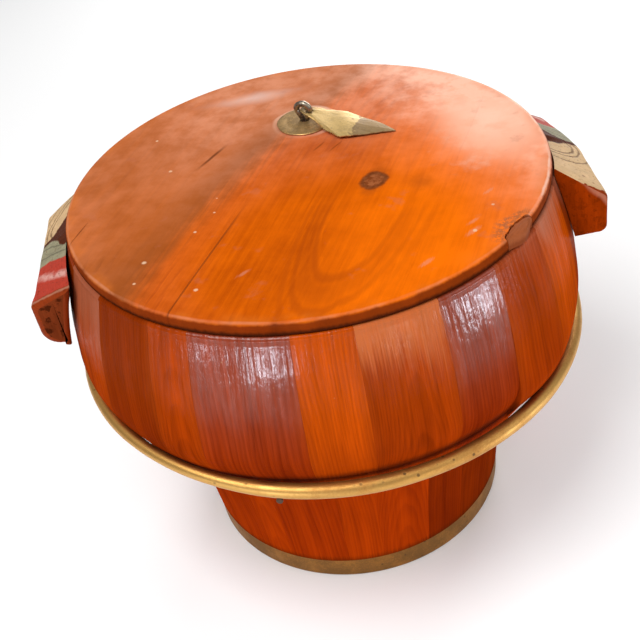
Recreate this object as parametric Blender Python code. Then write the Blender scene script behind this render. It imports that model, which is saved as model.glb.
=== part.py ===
"""Coopered rice bucket: lacquered staves, plank lid with a brass leaf pull, brass hoop and foot band.

Metres, +Z up.  The origin is the middle of the foot on the floor, and the handles lie on the X axis.
"""

import math

import bmesh
import bpy
from mathutils import Matrix, Vector

# Gap that touching pieces keep
CLEAR = 0.0003

# Body, from the floor up: heights are rises above the knot below
WAIST_RISE = 0.085
FLARE_RISE = 0.045
BELLY_RISE = 0.045
NECK_RISE = 0.0613
FOOT_RADIUS = 0.0988
WAIST_RADIUS = 0.1105
SHOULDER_RADIUS = 0.1425
BELLY_RADIUS = 0.154
RIM_RADIUS = 0.1418
WALL = 0.012
RIM_EASE = 0.002

# Staves, widths in degrees going round from the front right, read from the colour changes in the wall
STAVE_WIDTHS = (16, 17, 18, 21, 16, 19, 15, 19, 16, 20, 19, 19, 17, 18.5, 15.5, 16.5, 10, 21.8, 12.7, 18, 15)
STAVE_START = -53.0
STAVE_STEP = 6.5

# Bottom boards in their groove
BOTTOM_RISE = 0.056
BOTTOM_THICK = 0.011
GROOVE_DEPTH = 0.004
BOTTOM_JOINT = 0.034

# Foot band in its rebate
BAND_TALL = 0.0150
BAND_THICK = 0.0015
BAND_REBATE = 0.0015
BAND_LIFT = 0.0006

# Rod hoop, loose under the belly and tipped down to the right and to the front
HOOP_ROD = 0.0088
HOOP_RISE = 0.0108
HOOP_PLAY = 0.0005
HOOP_DROP_RIGHT = 0.0047
HOOP_DROP_FRONT = 0.0014

# Nails that carry the hoop
NAIL_SHANK = 0.0026
NAIL_HEAD = 0.0038
NAIL_HEAD_THICK = 0.0010
NAIL_DEPTH = 0.008
NAIL_AZIMUTHS = (-106.5, -25.0, 61.0, 153.0)

# Lid
LID_INSET = 0.0008
LID_THICK = 0.008
LID_EASE = 0.0022
LID_GRAIN = 66.0
LID_LEFT_BOARD = 0.031
LID_RIGHT_BOARD = 0.055
LID_MIDDLE_JOINT = -0.0255
BATTEN_WIDE = 0.016
BATTEN_THICK = 0.010
BATTEN_OFFSET = 0.040
BATTEN_PLAY = 0.006

# Patch let into the lid's rim
PATCH_AZIMUTH = -43.4
PATCH_WIDE = 0.034
PATCH_DEEP = 0.0115
PATCH_LEDGE = 0.0015

# Lid fitting: rosette, split eye pin and leaf pull
FITTING_X = 0.0060
FITTING_Y = 0.0605
ROSETTE_RADIUS = 0.0178
ROSETTE_THICK = 0.0016
ROSETTE_EDGE = 0.0008
PIN_WIRE = 0.0024
PIN_EYE = 0.0032
PIN_LEG_GAP = 0.0006
PIN_SPREAD = 0.012
PIN_NECK = 0.0074
LEAF_AZIMUTH = -31.1
LEAF_LENGTH = 0.0610
LEAF_WIDE = 0.0318
LEAF_ROOT_WIDE = 0.0130
LEAF_THICK = 0.0014
LEAF_BAR = 0.0026
LEAF_HOLE_PLAY = 0.0012

# Carved handles: straight bars with a sloping top, a plain skewed end and a rounded end
HANDLE_LENGTH = 0.102
HANDLE_SHIFT = 0.0045
HANDLE_REACH = 0.009
HANDLE_BROW_DROP = 0.0143
HANDLE_FOOT_DROP = 0.0388
HANDLE_RISE_PLAIN = 0.0195
HANDLE_RISE_ROUND = 0.0070
HANDLE_EASE = 0.005
HANDLE_SKEW = 0.007
HANDLE_ROUND = 0.005
HANDLE_TAPER_RIGHT = 0.011
HANDLE_TAPER_LEFT = 0.0
LOBE_PALE = 0.050
LOBE_NOTCH = 0.010
NOTCH_DEPTH = 0.003
PEG_RADIUS = 0.003
PEG_SPACING = 0.056
PEG_DEPTH = 0.010

WAIST_HEIGHT = WAIST_RISE
SHOULDER_HEIGHT = WAIST_HEIGHT + FLARE_RISE
BELLY_HEIGHT = SHOULDER_HEIGHT + BELLY_RISE
RIM_HEIGHT = BELLY_HEIGHT + NECK_RISE
LID_SEAT = RIM_HEIGHT + CLEAR
LID_RADIUS = RIM_RADIUS - LID_INSET
LID_JOINTS = (LID_LEFT_BOARD - LID_RADIUS, LID_MIDDLE_JOINT, LID_RADIUS - LID_RIGHT_BOARD)
MOUTH_RADIUS = RIM_RADIUS - WALL
HOOP_HEIGHT = SHOULDER_HEIGHT + HOOP_RISE
HOOP_FALL_RIGHT = HOOP_DROP_RIGHT / SHOULDER_RADIUS
HOOP_FALL_FRONT = HOOP_DROP_FRONT / SHOULDER_RADIUS
BAND_SEAT = FOOT_RADIUS - BAND_REBATE
HANDLE_START = HANDLE_SHIFT - HANDLE_LENGTH / 2
HANDLE_FACE = max(BELLY_RADIUS, RIM_RADIUS) + HANDLE_REACH
HANDLE_BROW = RIM_HEIGHT - HANDLE_BROW_DROP
HANDLE_FOOT = RIM_HEIGHT - HANDLE_FOOT_DROP
PEG_HEIGHT = (HANDLE_BROW + HANDLE_FOOT) / 2
PIN_LEG = (PIN_WIRE + PIN_LEG_GAP) / 2
PIN_HOLE = PIN_LEG + PIN_WIRE / 2 + CLEAR
EYE_RADIUS = PIN_EYE + PIN_WIRE / 2
EYE_HEIGHT = LID_THICK + ROSETTE_THICK + PIN_NECK

LACQUER_ORANGE = (0.60, 0.15, 0.03)
LACQUER_RED = (0.36, 0.06, 0.02)
LACQUER_BROWN = (0.16, 0.05, 0.03)
LACQUER_PLUM = (0.13, 0.04, 0.045)
STAVE_TINTS = (LACQUER_RED, LACQUER_PLUM, LACQUER_ORANGE, LACQUER_BROWN)
FRONT_TINTS = (LACQUER_RED, LACQUER_BROWN, LACQUER_ORANGE, LACQUER_BROWN, LACQUER_PLUM)


def clear_scene():
    """Remove everything that the open file holds."""
    for item in list(bpy.data.objects):
        bpy.data.objects.remove(item, do_unlink=True)


def material(name, colour, roughness, metallic=0.0):
    """Principled material with one colour."""
    made = bpy.data.materials.new(name)
    made.use_nodes = True
    shader = made.node_tree.nodes["Principled BSDF"]
    shader.inputs["Base Color"].default_value = (*colour, 1.0)
    shader.inputs["Roughness"].default_value = roughness
    shader.inputs["Metallic"].default_value = metallic
    return made


def add_object(name, data, paint=None, parent=None):
    """Link an object, give it its material and its parent."""
    made = bpy.data.objects.new(name, data)
    bpy.context.scene.collection.objects.link(made)
    if paint is not None:
        made.data.materials.append(paint)
    made.parent = parent
    return made


def mesh_from(name, shape):
    """Turn an edited mesh into mesh data with its faces out and its round sides smooth."""
    bmesh.ops.recalc_face_normals(shape, faces=shape.faces)
    made = bpy.data.meshes.new(name)
    shape.to_mesh(made)
    shape.free()
    made.shade_smooth()
    made.set_sharp_from_angle(angle=math.radians(35))
    return made


def loft(sections, closed=False):
    """Skin a row of like sections, capped at both ends or closed into a ring."""
    shape = bmesh.new()
    rows = [[shape.verts.new(point) for point in section] for section in sections]
    followers = rows[1:] + rows[:1] if closed else rows[1:]
    for near, far in zip(rows, followers):
        for index in range(len(near)):
            after = (index + 1) % len(near)
            shape.faces.new((near[index], near[after], far[after], far[index]))
    if not closed:
        shape.faces.new(rows[0])
        shape.faces.new(rows[-1])
    return shape


def turned_ring(profile, count):
    """Turn a closed profile of (radius, height) about Z."""
    sections = []
    for step in range(count):
        angle = math.tau * step / count
        sections.append([(r * math.cos(angle), r * math.sin(angle), z) for r, z in profile])
    return loft(sections, closed=True)


def turned_solid(profile, count):
    """Turn an open profile of (radius, height), which runs from the top down, into a solid with flat ends."""
    sections = []
    for r, z in profile:
        turns = [math.tau * step / count for step in range(count)]
        sections.append([(r * math.cos(angle), r * math.sin(angle), z) for angle in turns])
    return loft(sections)


def prism(outline, low, high):
    """Extrude a plan outline from one height to another."""
    return loft([[(x, y, low) for x, y in outline], [(x, y, high) for x, y in outline]])


def slice_between(shape, normal, low, high):
    """Keep what lies between two planes along a level normal, and cap the cuts."""
    cuts = ((low, -1.0), (high, 1.0))
    for offset, side in cuts:
        if offset is None:
            continue
        geometry = list(shape.verts) + list(shape.edges) + list(shape.faces)
        bmesh.ops.bisect_plane(
            shape, geom=geometry, dist=1e-7, plane_co=normal * offset, plane_no=normal * side, clear_outer=True
        )
        rim = [edge for edge in shape.edges if edge.is_boundary]
        bmesh.ops.edgeloop_fill(shape, edges=rim)
    return shape


def cut_with(target, cutter):
    """Take a cutter out of a piece."""
    cut = target.modifiers.new(cutter.name, "BOOLEAN")
    cut.operation = "DIFFERENCE"
    cut.solver = "EXACT"
    cut.object = cutter


def add_cutter(name, shape, parent=None):
    """Link a cutter, which shows as a wire and isn't rendered."""
    made = add_object(name, mesh_from(name, shape), parent=parent)
    made.hide_render = True
    made.display_type = "WIRE"
    return made


def outer_radius(height):
    """Radius of the body at a height: smooth, and level where the belly is widest."""
    knots = (
        (0.0, FOOT_RADIUS),
        (WAIST_HEIGHT, WAIST_RADIUS),
        (SHOULDER_HEIGHT, SHOULDER_RADIUS),
        (BELLY_HEIGHT, BELLY_RADIUS),
        (RIM_HEIGHT, RIM_RADIUS),
    )
    rises = [(b[1] - a[1]) / (b[0] - a[0]) for a, b in zip(knots, knots[1:])]
    inner = [2 * a * b / (a + b) if a * b > 0 else 0.0 for a, b in zip(rises, rises[1:])]
    slopes = [(3 * rises[0] - inner[0]) / 2] + inner + [(3 * rises[-1] - inner[-1]) / 2]
    part = 0
    while part < len(rises) - 1 and height > knots[part + 1][0]:
        part += 1
    run = knots[part + 1][0] - knots[part][0]
    t = (height - knots[part][0]) / run
    return (
        (1 + 2 * t) * (1 - t) ** 2 * knots[part][1]
        + t * (1 - t) ** 2 * run * slopes[part]
        + t * t * (3 - 2 * t) * knots[part + 1][1]
        + t * t * (t - 1) * run * slopes[part + 1]
    )


def groove_floor():
    """Radius of the floor of the groove that holds the bottom boards."""
    return outer_radius(BOTTOM_RISE + BOTTOM_THICK / 2) - WALL + GROOVE_DEPTH


def stave_profile():
    """Upright section of a stave as (radius, height): up the outside, over the rim and down the inside."""
    step_height = BAND_LIFT + BAND_TALL + CLEAR
    groove_low = BOTTOM_RISE - CLEAR
    groove_high = BOTTOM_RISE + BOTTOM_THICK + CLEAR
    flare = SHOULDER_HEIGHT - WAIST_HEIGHT
    spread = (0.0, 0.2, 0.4, 0.6, 0.8)
    outside = [(step_height + WAIST_HEIGHT) / 2]
    outside += [WAIST_HEIGHT + flare * share for share in spread]
    outside += [SHOULDER_HEIGHT + (BELLY_HEIGHT - SHOULDER_HEIGHT) * share for share in (0.0, 0.34, 0.67)]
    outside += [BELLY_HEIGHT + (RIM_HEIGHT - RIM_EASE - BELLY_HEIGHT) * share for share in (0.0, 0.35, 0.7, 1.0)]
    points = [(BAND_SEAT, 0.0), (BAND_SEAT, step_height), (outer_radius(step_height), step_height)]
    points += [(outer_radius(height), height) for height in outside]
    points.append((RIM_RADIUS - RIM_EASE, RIM_HEIGHT))
    points.append((RIM_RADIUS - WALL, RIM_HEIGHT))
    inside = [BELLY_HEIGHT + (RIM_HEIGHT - BELLY_HEIGHT) * share for share in (0.5, 0.0)]
    inside += [SHOULDER_HEIGHT + (BELLY_HEIGHT - SHOULDER_HEIGHT) * share for share in (0.5, 0.0)]
    inside += [WAIST_HEIGHT + flare * share for share in (0.66, 0.33, 0.0)]
    points += [(outer_radius(height) - WALL, height) for height in inside]
    points.append((outer_radius(groove_high) - WALL, groove_high))
    points.append((groove_floor(), groove_high))
    points.append((groove_floor(), groove_low))
    points.append((outer_radius(groove_low) - WALL, groove_low))
    points.append((BAND_SEAT - WALL + BAND_REBATE, 0.0))
    return points


def stave_bounds():
    """Start and end angle of each stave in degrees; the widths are scaled to close the round."""
    whole = sum(STAVE_WIDTHS)
    bounds = []
    angle = STAVE_START
    for width in STAVE_WIDTHS:
        turn = 360.0 * width / whole
        bounds.append((angle, angle + turn))
        angle += turn
    return bounds


def build_staves(parent):
    """One curved board for each width, with half of the joint's gap left on each edge."""
    profile = stave_profile()
    staves = []
    bounds = stave_bounds()
    for number, (start, end) in enumerate(bounds):
        count = max(2, math.ceil((end - start) / STAVE_STEP))
        sections = []
        for step in range(count + 1):
            angle = math.radians(start + (end - start) * step / count)
            shift = CLEAR / 2 if step == 0 else -CLEAR / 2 if step == count else 0.0
            out = Vector((math.cos(angle), math.sin(angle), 0.0))
            along = Vector((-math.sin(angle), math.cos(angle), 0.0))
            sections.append([out * r + along * shift + Vector((0.0, 0.0, z)) for r, z in profile])
        front = number - len(bounds) + len(FRONT_TINTS)
        tint = FRONT_TINTS[front] if front >= 0 else STAVE_TINTS[number % len(STAVE_TINTS)]
        name = f"stave_{number + 1:02d}"
        paint = material(name, tint, 0.3)
        staves.append((add_object(name, mesh_from(name, loft(sections)), paint, parent), start, end))
    return staves


def staves_at(staves, azimuth, half_width):
    """Staves that a cut of a half width, given as an angle, reaches."""
    reached = []
    for stave, start, end in staves:
        offset = (azimuth - start) % 360.0
        if offset < end - start + half_width or offset > 360.0 - half_width:
            reached.append(stave)
    return reached


def build_bottom(parent):
    """Three boards that lie in the groove of the staves."""
    radius = groove_floor() - CLEAR
    joints = (None, -BOTTOM_JOINT, BOTTOM_JOINT, None)
    for number in range(3):
        disc = turned_solid(((radius, BOTTOM_RISE + BOTTOM_THICK), (radius, BOTTOM_RISE)), 60)
        low = None if joints[number] is None else joints[number] + CLEAR / 2
        high = None if joints[number + 1] is None else joints[number + 1] - CLEAR / 2
        board = slice_between(disc, Vector((1.0, 0.0, 0.0)), low, high)
        name = f"bottom_board_{number + 1}"
        add_object(name, mesh_from(name, board), material(name, (0.20, 0.09, 0.05), 0.6), parent)


def build_band(parent):
    """Flat brass band in the rebate of the foot."""
    inside = BAND_SEAT + CLEAR
    outside = inside + BAND_THICK
    top = BAND_LIFT + BAND_TALL
    profile = ((outside, top), (outside, BAND_LIFT), (inside, BAND_LIFT), (inside, top))
    band = mesh_from("foot_band", turned_ring(profile, 60))
    add_object("foot_band", band, material("foot_band", (0.28, 0.16, 0.05), 0.45, 1.0), parent)


def hoop_plane(x, y):
    """Height of the hoop's middle at a place in plan."""
    return HOOP_HEIGHT - HOOP_FALL_RIGHT * x + HOOP_FALL_FRONT * y


def hoop_radius():
    """Radius of the hoop's middle: it clears the body on its high side, where the body is widest."""
    fall = math.hypot(HOOP_FALL_RIGHT, HOOP_FALL_FRONT)
    high = HOOP_HEIGHT + fall * (SHOULDER_RADIUS + HOOP_ROD)
    lean = math.cos(math.atan(fall))
    return (outer_radius(high) + HOOP_ROD / 2 + HOOP_PLAY) / lean


def build_hoop(parent):
    """Round rod bent into a ring that lies on its tipped plane."""
    radius = hoop_radius()
    normal = Vector((HOOP_FALL_RIGHT, -HOOP_FALL_FRONT, 1.0)).normalized()
    profile = []
    for side in range(8):
        turn = math.tau * (side + 0.5) / 8
        profile.append((radius + HOOP_ROD / 2 * math.cos(turn), HOOP_ROD / 2 * math.sin(turn)))
    ring = mesh_from("hoop", turned_ring(profile, 72))
    hoop = add_object("hoop", ring, material("hoop", (0.75, 0.52, 0.22), 0.3, 1.0), parent)
    hoop.rotation_euler = Vector((0.0, 0.0, 1.0)).rotation_difference(normal).to_euler()
    hoop.location = (0.0, 0.0, HOOP_HEIGHT)


def build_nails(parent, staves):
    """Small nails driven level into the wall under the hoop, with a hole in the stave for each."""
    radius = hoop_radius()
    for number, azimuth in enumerate(NAIL_AZIMUTHS):
        angle = math.radians(azimuth)
        out = Vector((math.cos(angle), math.sin(angle), 0.0))
        height = hoop_plane(*(out * radius).xy) - HOOP_ROD / 2 - NAIL_SHANK / 2 - CLEAR
        wall = outer_radius(height)
        point = wall - NAIL_DEPTH
        head = radius + NAIL_SHANK / 2
        turn = Matrix.Rotation(angle, 4, "Z") @ Matrix.Rotation(math.pi / 2, 4, "Y")
        place = Matrix.Translation((0.0, 0.0, height)) @ turn
        nail = turned_solid(
            (
                (NAIL_HEAD / 2, head + NAIL_HEAD_THICK),
                (NAIL_HEAD / 2, head),
                (NAIL_SHANK / 2, head),
                (NAIL_SHANK / 2, point + NAIL_SHANK),
                (NAIL_SHANK / 8, point),
            ),
            10,
        )
        nail.transform(place)
        name = f"hoop_nail_{number + 1}"
        add_object(name, mesh_from(name, nail), material(name, (0.08, 0.06, 0.05), 0.6, 1.0), parent)
        bore = NAIL_SHANK / 2 + CLEAR
        hole = turned_solid(((bore, wall + WALL), (bore, point - CLEAR)), 12)
        hole.transform(place)
        cutter = add_cutter(f"nail_hole_{number + 1}", hole, parent)
        for stave in staves_at(staves, azimuth, math.degrees(bore / wall)):
            cut_with(stave, cutter)


def lid_normal():
    """Level direction across the lid's boards."""
    angle = math.radians(LID_GRAIN - 90.0)
    return Vector((math.cos(angle), math.sin(angle), 0.0))


def lid_disc():
    """Whole lid before it is cut into boards: a flat round with eased edges."""
    profile = (
        (LID_RADIUS - LID_EASE, LID_THICK),
        (LID_RADIUS, LID_THICK - LID_EASE),
        (LID_RADIUS, LID_EASE / 2),
        (LID_RADIUS - LID_EASE / 2, 0.0),
    )
    return turned_solid(profile, 72)


def patch_outline(grown):
    """Plan of the rim patch: a straight inner side and the lid's own round outer side."""
    turn = math.radians(PATCH_AZIMUTH)
    half = PATCH_WIDE / 2 + grown
    inner = LID_RADIUS - PATCH_DEEP - grown
    outer = LID_RADIUS - LID_EASE / 2 + max(grown, 0.0) * 20
    reach = math.asin(half / outer)
    points = [(inner, half), (inner, -half)]
    for step in range(6):
        angle = reach * (step / 2.5 - 1.0)
        points.append((outer * math.cos(angle), outer * math.sin(angle)))
    turned = Matrix.Rotation(turn, 2)
    return [tuple(turned @ Vector(point)) for point in points]


def build_lid(parent):
    """Boards, battens and rim patch of the lid."""
    normal = lid_normal()
    joints = (None, *LID_JOINTS, None)
    boards = []
    for number in range(len(joints) - 1):
        low = None if joints[number] is None else joints[number] + CLEAR / 2
        high = None if joints[number + 1] is None else joints[number + 1] - CLEAR / 2
        board = slice_between(lid_disc(), normal, low, high)
        name = f"lid_board_{number + 1}"
        paint = material(name, LACQUER_ORANGE, 0.35)
        boards.append((add_object(name, mesh_from(name, board), paint, parent), low, high))

    notch = prism(patch_outline(CLEAR), PATCH_LEDGE, LID_THICK * 2)
    notch_cutter = add_cutter("patch_notch", notch, parent)
    hole = turned_solid(((PIN_HOLE, LID_THICK * 2), (PIN_HOLE, -LID_THICK)), 16)
    hole.transform(Matrix.Translation((FITTING_X, FITTING_Y, 0.0)))
    hole_cutter = add_cutter("pin_hole", hole, parent)
    fitting = normal.dot(Vector((FITTING_X, FITTING_Y, 0.0)))
    patch_across = [normal.xy.dot(Vector(point)) for point in patch_outline(CLEAR)]
    for board, low, high in boards:
        low = -LID_RADIUS if low is None else low
        high = LID_RADIUS if high is None else high
        if low - PIN_HOLE < fitting < high + PIN_HOLE:
            cut_with(board, hole_cutter)
        if max(patch_across) > low and min(patch_across) < high:
            cut_with(board, notch_cutter)

    patch = prism(patch_outline(0.0), PATCH_LEDGE + CLEAR, LID_THICK - CLEAR)
    add_object("lid_patch", mesh_from("lid_patch", patch), material("lid_patch", (0.25, 0.10, 0.03), 0.5), parent)

    along = Vector((-normal.y, normal.x, 0.0))
    far = BATTEN_OFFSET + BATTEN_WIDE / 2
    half = math.sqrt((MOUTH_RADIUS - BATTEN_PLAY) ** 2 - far**2)
    top = -CLEAR
    for number, side in enumerate((-1.0, 1.0)):
        middle = along * BATTEN_OFFSET * side
        corners = ((-half, -BATTEN_WIDE / 2), (half, -BATTEN_WIDE / 2), (half, BATTEN_WIDE / 2), (-half, BATTEN_WIDE / 2))
        outline = [(middle + normal * a + along * b).xy for a, b in corners]
        name = f"lid_batten_{number + 1}"
        batten = mesh_from(name, prism(outline, top - BATTEN_THICK, top))
        add_object(name, batten, material(name, (0.22, 0.10, 0.05), 0.6), parent)


def build_rosette(parent):
    """Low domed plate round the eye pin."""
    seat = LID_THICK + CLEAR
    profile = (
        (PIN_HOLE, seat + ROSETTE_THICK),
        (ROSETTE_RADIUS * 0.6, seat + ROSETTE_THICK),
        (ROSETTE_RADIUS, seat + ROSETTE_EDGE),
        (ROSETTE_RADIUS, seat),
        (PIN_HOLE, seat),
    )
    plate = turned_ring(profile, 28)
    plate.transform(Matrix.Translation((FITTING_X, FITTING_Y, 0.0)))
    paint = material("rosette", (0.22, 0.18, 0.09), 0.4, 1.0)
    add_object("rosette", mesh_from("rosette", plate), paint, parent)


def pin_path():
    """Middle line of the eye pin as (along, height): leg tip, up through the lid, round the eye and back."""
    bend = PIN_WIRE * 1.2
    under = -CLEAR - PIN_WIRE / 2 - bend
    half = [(-PIN_SPREAD, under), (-PIN_LEG - bend * 1.6, under)]
    for step in range(1, 4):
        turn = math.pi / 2 * step / 4
        half.append((-PIN_LEG - bend * (1 - math.sin(turn)), under + bend * (1 - math.cos(turn))))
    half += [(-PIN_LEG, under + bend * 1.5), (-PIN_LEG, EYE_HEIGHT - EYE_RADIUS - PIN_WIRE)]
    start = math.radians(212.0)
    foot = (EYE_RADIUS * 1.06 * math.cos(math.radians(226.0)), EYE_RADIUS * 1.06 * math.sin(math.radians(226.0)))
    half.append((-PIN_LEG * 1.25, EYE_HEIGHT - EYE_RADIUS - PIN_WIRE * 0.35))
    half.append((foot[0], EYE_HEIGHT + foot[1]))
    for step in range(7):
        turn = start + (math.pi / 2 - start) * step / 7
        half.append((EYE_RADIUS * math.cos(turn), EYE_HEIGHT + EYE_RADIUS * math.sin(turn)))
    return half + [(0.0, EYE_HEIGHT + EYE_RADIUS)] + [(-a, h) for a, h in reversed(half)]


def build_pin(parent):
    """Split eye pin: one bent wire whose eye stands in line with the leaf and whose legs spread under the lid."""
    points = pin_path()
    curve = bpy.data.curves.new("eye_pin", "CURVE")
    curve.dimensions = "3D"
    curve.bevel_depth = PIN_WIRE / 2
    curve.bevel_resolution = 2
    curve.use_fill_caps = True
    spline = curve.splines.new("POLY")
    spline.points.add(len(points) - 1)
    for point, (along, height) in zip(spline.points, points):
        point.co = (along, 0.0, height, 1.0)
    pin = add_object("eye_pin", curve, material("eye_pin", (0.14, 0.11, 0.07), 0.45, 1.0), parent)
    pin.location = (FITTING_X, FITTING_Y, 0.0)
    pin.rotation_euler = (0.0, 0.0, math.radians(LEAF_AZIMUTH))


def leaf_half_width(along):
    """Half width of the leaf: it swells from the root to its widest place and runs out to a point."""
    wide_at = LEAF_LENGTH * 0.42
    if along < wide_at:
        t = max(along + LEAF_BAR / 2, 0.0) / (wide_at + LEAF_BAR / 2)
        return LEAF_ROOT_WIDE / 2 + (LEAF_WIDE - LEAF_ROOT_WIDE) / 2 * math.sin(t * math.pi / 2) ** 1.2
    t = (along - wide_at) / (LEAF_LENGTH - wide_at)
    return LEAF_WIDE / 2 * (1 - t**1.7)


def build_leaf(lid_frame):
    """Leaf pull: a thin plate whose root bar lies in the eye and whose tip rests on the lid."""
    hinge = bpy.data.objects.new("pull_frame", None)
    bpy.context.scene.collection.objects.link(hinge)
    hinge.parent = lid_frame
    hinge.location = (FITTING_X, FITTING_Y, EYE_HEIGHT)
    drop = EYE_HEIGHT - LID_THICK - CLEAR - LEAF_THICK / 2
    tip_angle = math.asin(drop / LEAF_LENGTH)
    hinge.rotation_euler = (0.0, tip_angle, math.radians(LEAF_AZIMUTH))

    stations = [-LEAF_BAR / 2]
    stations += [LEAF_LENGTH * share for share in (0.05, 0.12, 0.2, 0.3, 0.42, 0.54, 0.66, 0.78, 0.88, 0.95)]
    upper = [(along, leaf_half_width(along)) for along in stations]
    outline = upper + [(LEAF_LENGTH, 0.0)] + [(along, -half) for along, half in reversed(upper)]
    plate = prism(outline, -LEAF_THICK / 2, LEAF_THICK / 2)
    leaf = add_object("leaf_pull", mesh_from("leaf_pull", plate), material("leaf_pull", (0.42, 0.34, 0.17), 0.35, 1.0), hinge)

    near = LEAF_BAR / 2
    far = PIN_EYE + PIN_WIRE + LEAF_HOLE_PLAY
    half = PIN_WIRE / 2 + LEAF_HOLE_PLAY
    corner = LEAF_HOLE_PLAY
    hole = prism(
        (
            (near, -half + corner),
            (near + corner, -half),
            (far - corner, -half),
            (far, -half + corner),
            (far, half - corner),
            (far - corner, half),
            (near + corner, half),
            (near, half - corner),
        ),
        -LEAF_THICK,
        LEAF_THICK,
    )
    cut_with(leaf, add_cutter("leaf_hole", hole, hinge))


def handle_section(along, taper):
    """Section of a handle as points (out, along, height): round the bar, then down the belly behind it."""
    share = (along - HANDLE_START) / HANDLE_LENGTH
    past = max(share - 1.0 + 2 * HANDLE_ROUND / HANDLE_LENGTH, 0.0) * HANDLE_LENGTH / (2 * HANDLE_ROUND)
    inset = HANDLE_ROUND * (1.0 - math.sqrt(max(1.0 - past**2, 0.0)))
    face = HANDLE_FACE - inset - taper * max(2 * share - 1.0, 0.0) ** 1.6
    brow = HANDLE_BROW - inset
    foot = HANDLE_FOOT + inset
    into_notch = min(max((along - HANDLE_START - LOBE_PALE) / LOBE_NOTCH, 0.0), 1.0)
    head = brow + HANDLE_RISE_PLAIN + (HANDLE_RISE_ROUND - HANDLE_RISE_PLAIN) * share
    head -= NOTCH_DEPTH * math.sin(math.pi * into_notch)
    inner = along + HANDLE_SKEW * max(1.0 - (along - HANDLE_START) / (4 * HANDLE_SKEW), 0.0)

    def wall(height):
        radius = outer_radius(min(height, RIM_HEIGHT)) + CLEAR
        return (math.sqrt(radius**2 - inner**2), inner, height)

    corner = wall(head)[0]
    lean = (head - brow) / (face - corner)

    def bar(inward, height):
        return (face - inward, along + (inner - along) * inward / (face - corner), height)

    points = [
        wall(foot),
        bar(HANDLE_EASE, foot),
        bar(HANDLE_EASE * 0.3, foot + HANDLE_EASE * 0.3),
        bar(0.0, foot + HANDLE_EASE),
        bar(0.0, brow - HANDLE_EASE * 0.5),
        bar(HANDLE_EASE * 0.2, brow + (lean - 0.5) * HANDLE_EASE * 0.2),
        bar(HANDLE_EASE * 0.8, brow + lean * HANDLE_EASE * 0.8),
        wall(head),
    ]
    points += [wall(head + (foot - head) * step / 5) for step in range(1, 5)]
    return points


def build_handles(parent, staves):
    """Two carved handles, half a turn apart, each held by two pegs from inside the wall."""
    notch = HANDLE_START + LOBE_PALE
    bend = HANDLE_START + HANDLE_LENGTH - 2 * HANDLE_ROUND
    places = [HANDLE_START + LOBE_PALE * share for share in (0.0, 0.18, 0.36, 0.57, 0.79)]
    places += [notch + LOBE_NOTCH * share for share in (0.0, 0.25, 0.5, 0.75)]
    places += [notch + LOBE_NOTCH + (bend - notch - LOBE_NOTCH) * share for share in (0.0, 0.2, 0.4, 0.6, 0.8)]
    places += [bend + 2 * HANDLE_ROUND * share for share in (0.0, 0.5, 0.8, 0.95, 1.0)]
    outside = math.sqrt(outer_radius(PEG_HEIGHT) ** 2 - (PEG_SPACING / 2) ** 2)
    inside = math.sqrt((outer_radius(PEG_HEIGHT) - WALL) ** 2 - (PEG_SPACING / 2) ** 2)
    bore = PEG_RADIUS + CLEAR
    for side, turn, taper in (("right", 0.0, HANDLE_TAPER_RIGHT), ("left", 180.0, HANDLE_TAPER_LEFT)):
        paint = material(f"handle_{side}", (0.35, 0.10, 0.03), 0.5)
        mesh = mesh_from(f"handle_{side}", loft([handle_section(along, taper) for along in places]))
        handle = add_object(f"handle_{side}", mesh, paint, parent)
        handle.rotation_euler = (0.0, 0.0, math.radians(turn))
        for number, shift in enumerate((-PEG_SPACING / 2, PEG_SPACING / 2)):
            place = Matrix.Rotation(math.radians(turn), 4, "Z")
            place @= Matrix.Translation((0.0, shift, PEG_HEIGHT)) @ Matrix.Rotation(math.pi / 2, 4, "Y")
            peg = turned_solid(((PEG_RADIUS, outside + PEG_DEPTH), (PEG_RADIUS, inside)), 10)
            peg.transform(place)
            name = f"handle_peg_{side}_{number + 1}"
            add_object(name, mesh_from(name, peg), material(name, (0.30, 0.18, 0.08), 0.6), parent)
            hole = turned_solid(((bore, outside + PEG_DEPTH + CLEAR), (bore, inside - WALL)), 12)
            hole.transform(place)
            cutter = add_cutter(f"peg_hole_{side}_{number + 1}", hole, parent)
            cut_with(handle, cutter)
            azimuth = turn + math.degrees(math.atan2(shift, outside))
            for stave in staves_at(staves, azimuth, math.degrees(2 * bore / outside)):
                cut_with(stave, cutter)


def add_frame(name, height, parent=None):
    """Empty that carries the pieces of one body."""
    made = bpy.data.objects.new(name, None)
    bpy.context.scene.collection.objects.link(made)
    made.location = (0.0, 0.0, height)
    made.parent = parent
    return made


def main():
    clear_scene()
    tub = add_frame("tub_frame", 0.0)
    staves = build_staves(tub)
    build_bottom(tub)
    build_band(tub)
    build_hoop(tub)
    build_nails(tub, staves)
    build_handles(tub, staves)
    lid = add_frame("lid_frame", LID_SEAT)
    build_lid(lid)
    build_rosette(lid)
    build_pin(lid)
    build_leaf(lid)


main()
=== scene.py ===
"""Dressed model of a coopered rice bucket: lacquered staves, plank lid, brass fittings, and its stage."""

import math

import bpy
import numpy as np
from bpy.props import FloatProperty, FloatVectorProperty, PointerProperty
from mathutils import Matrix, Vector


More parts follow.
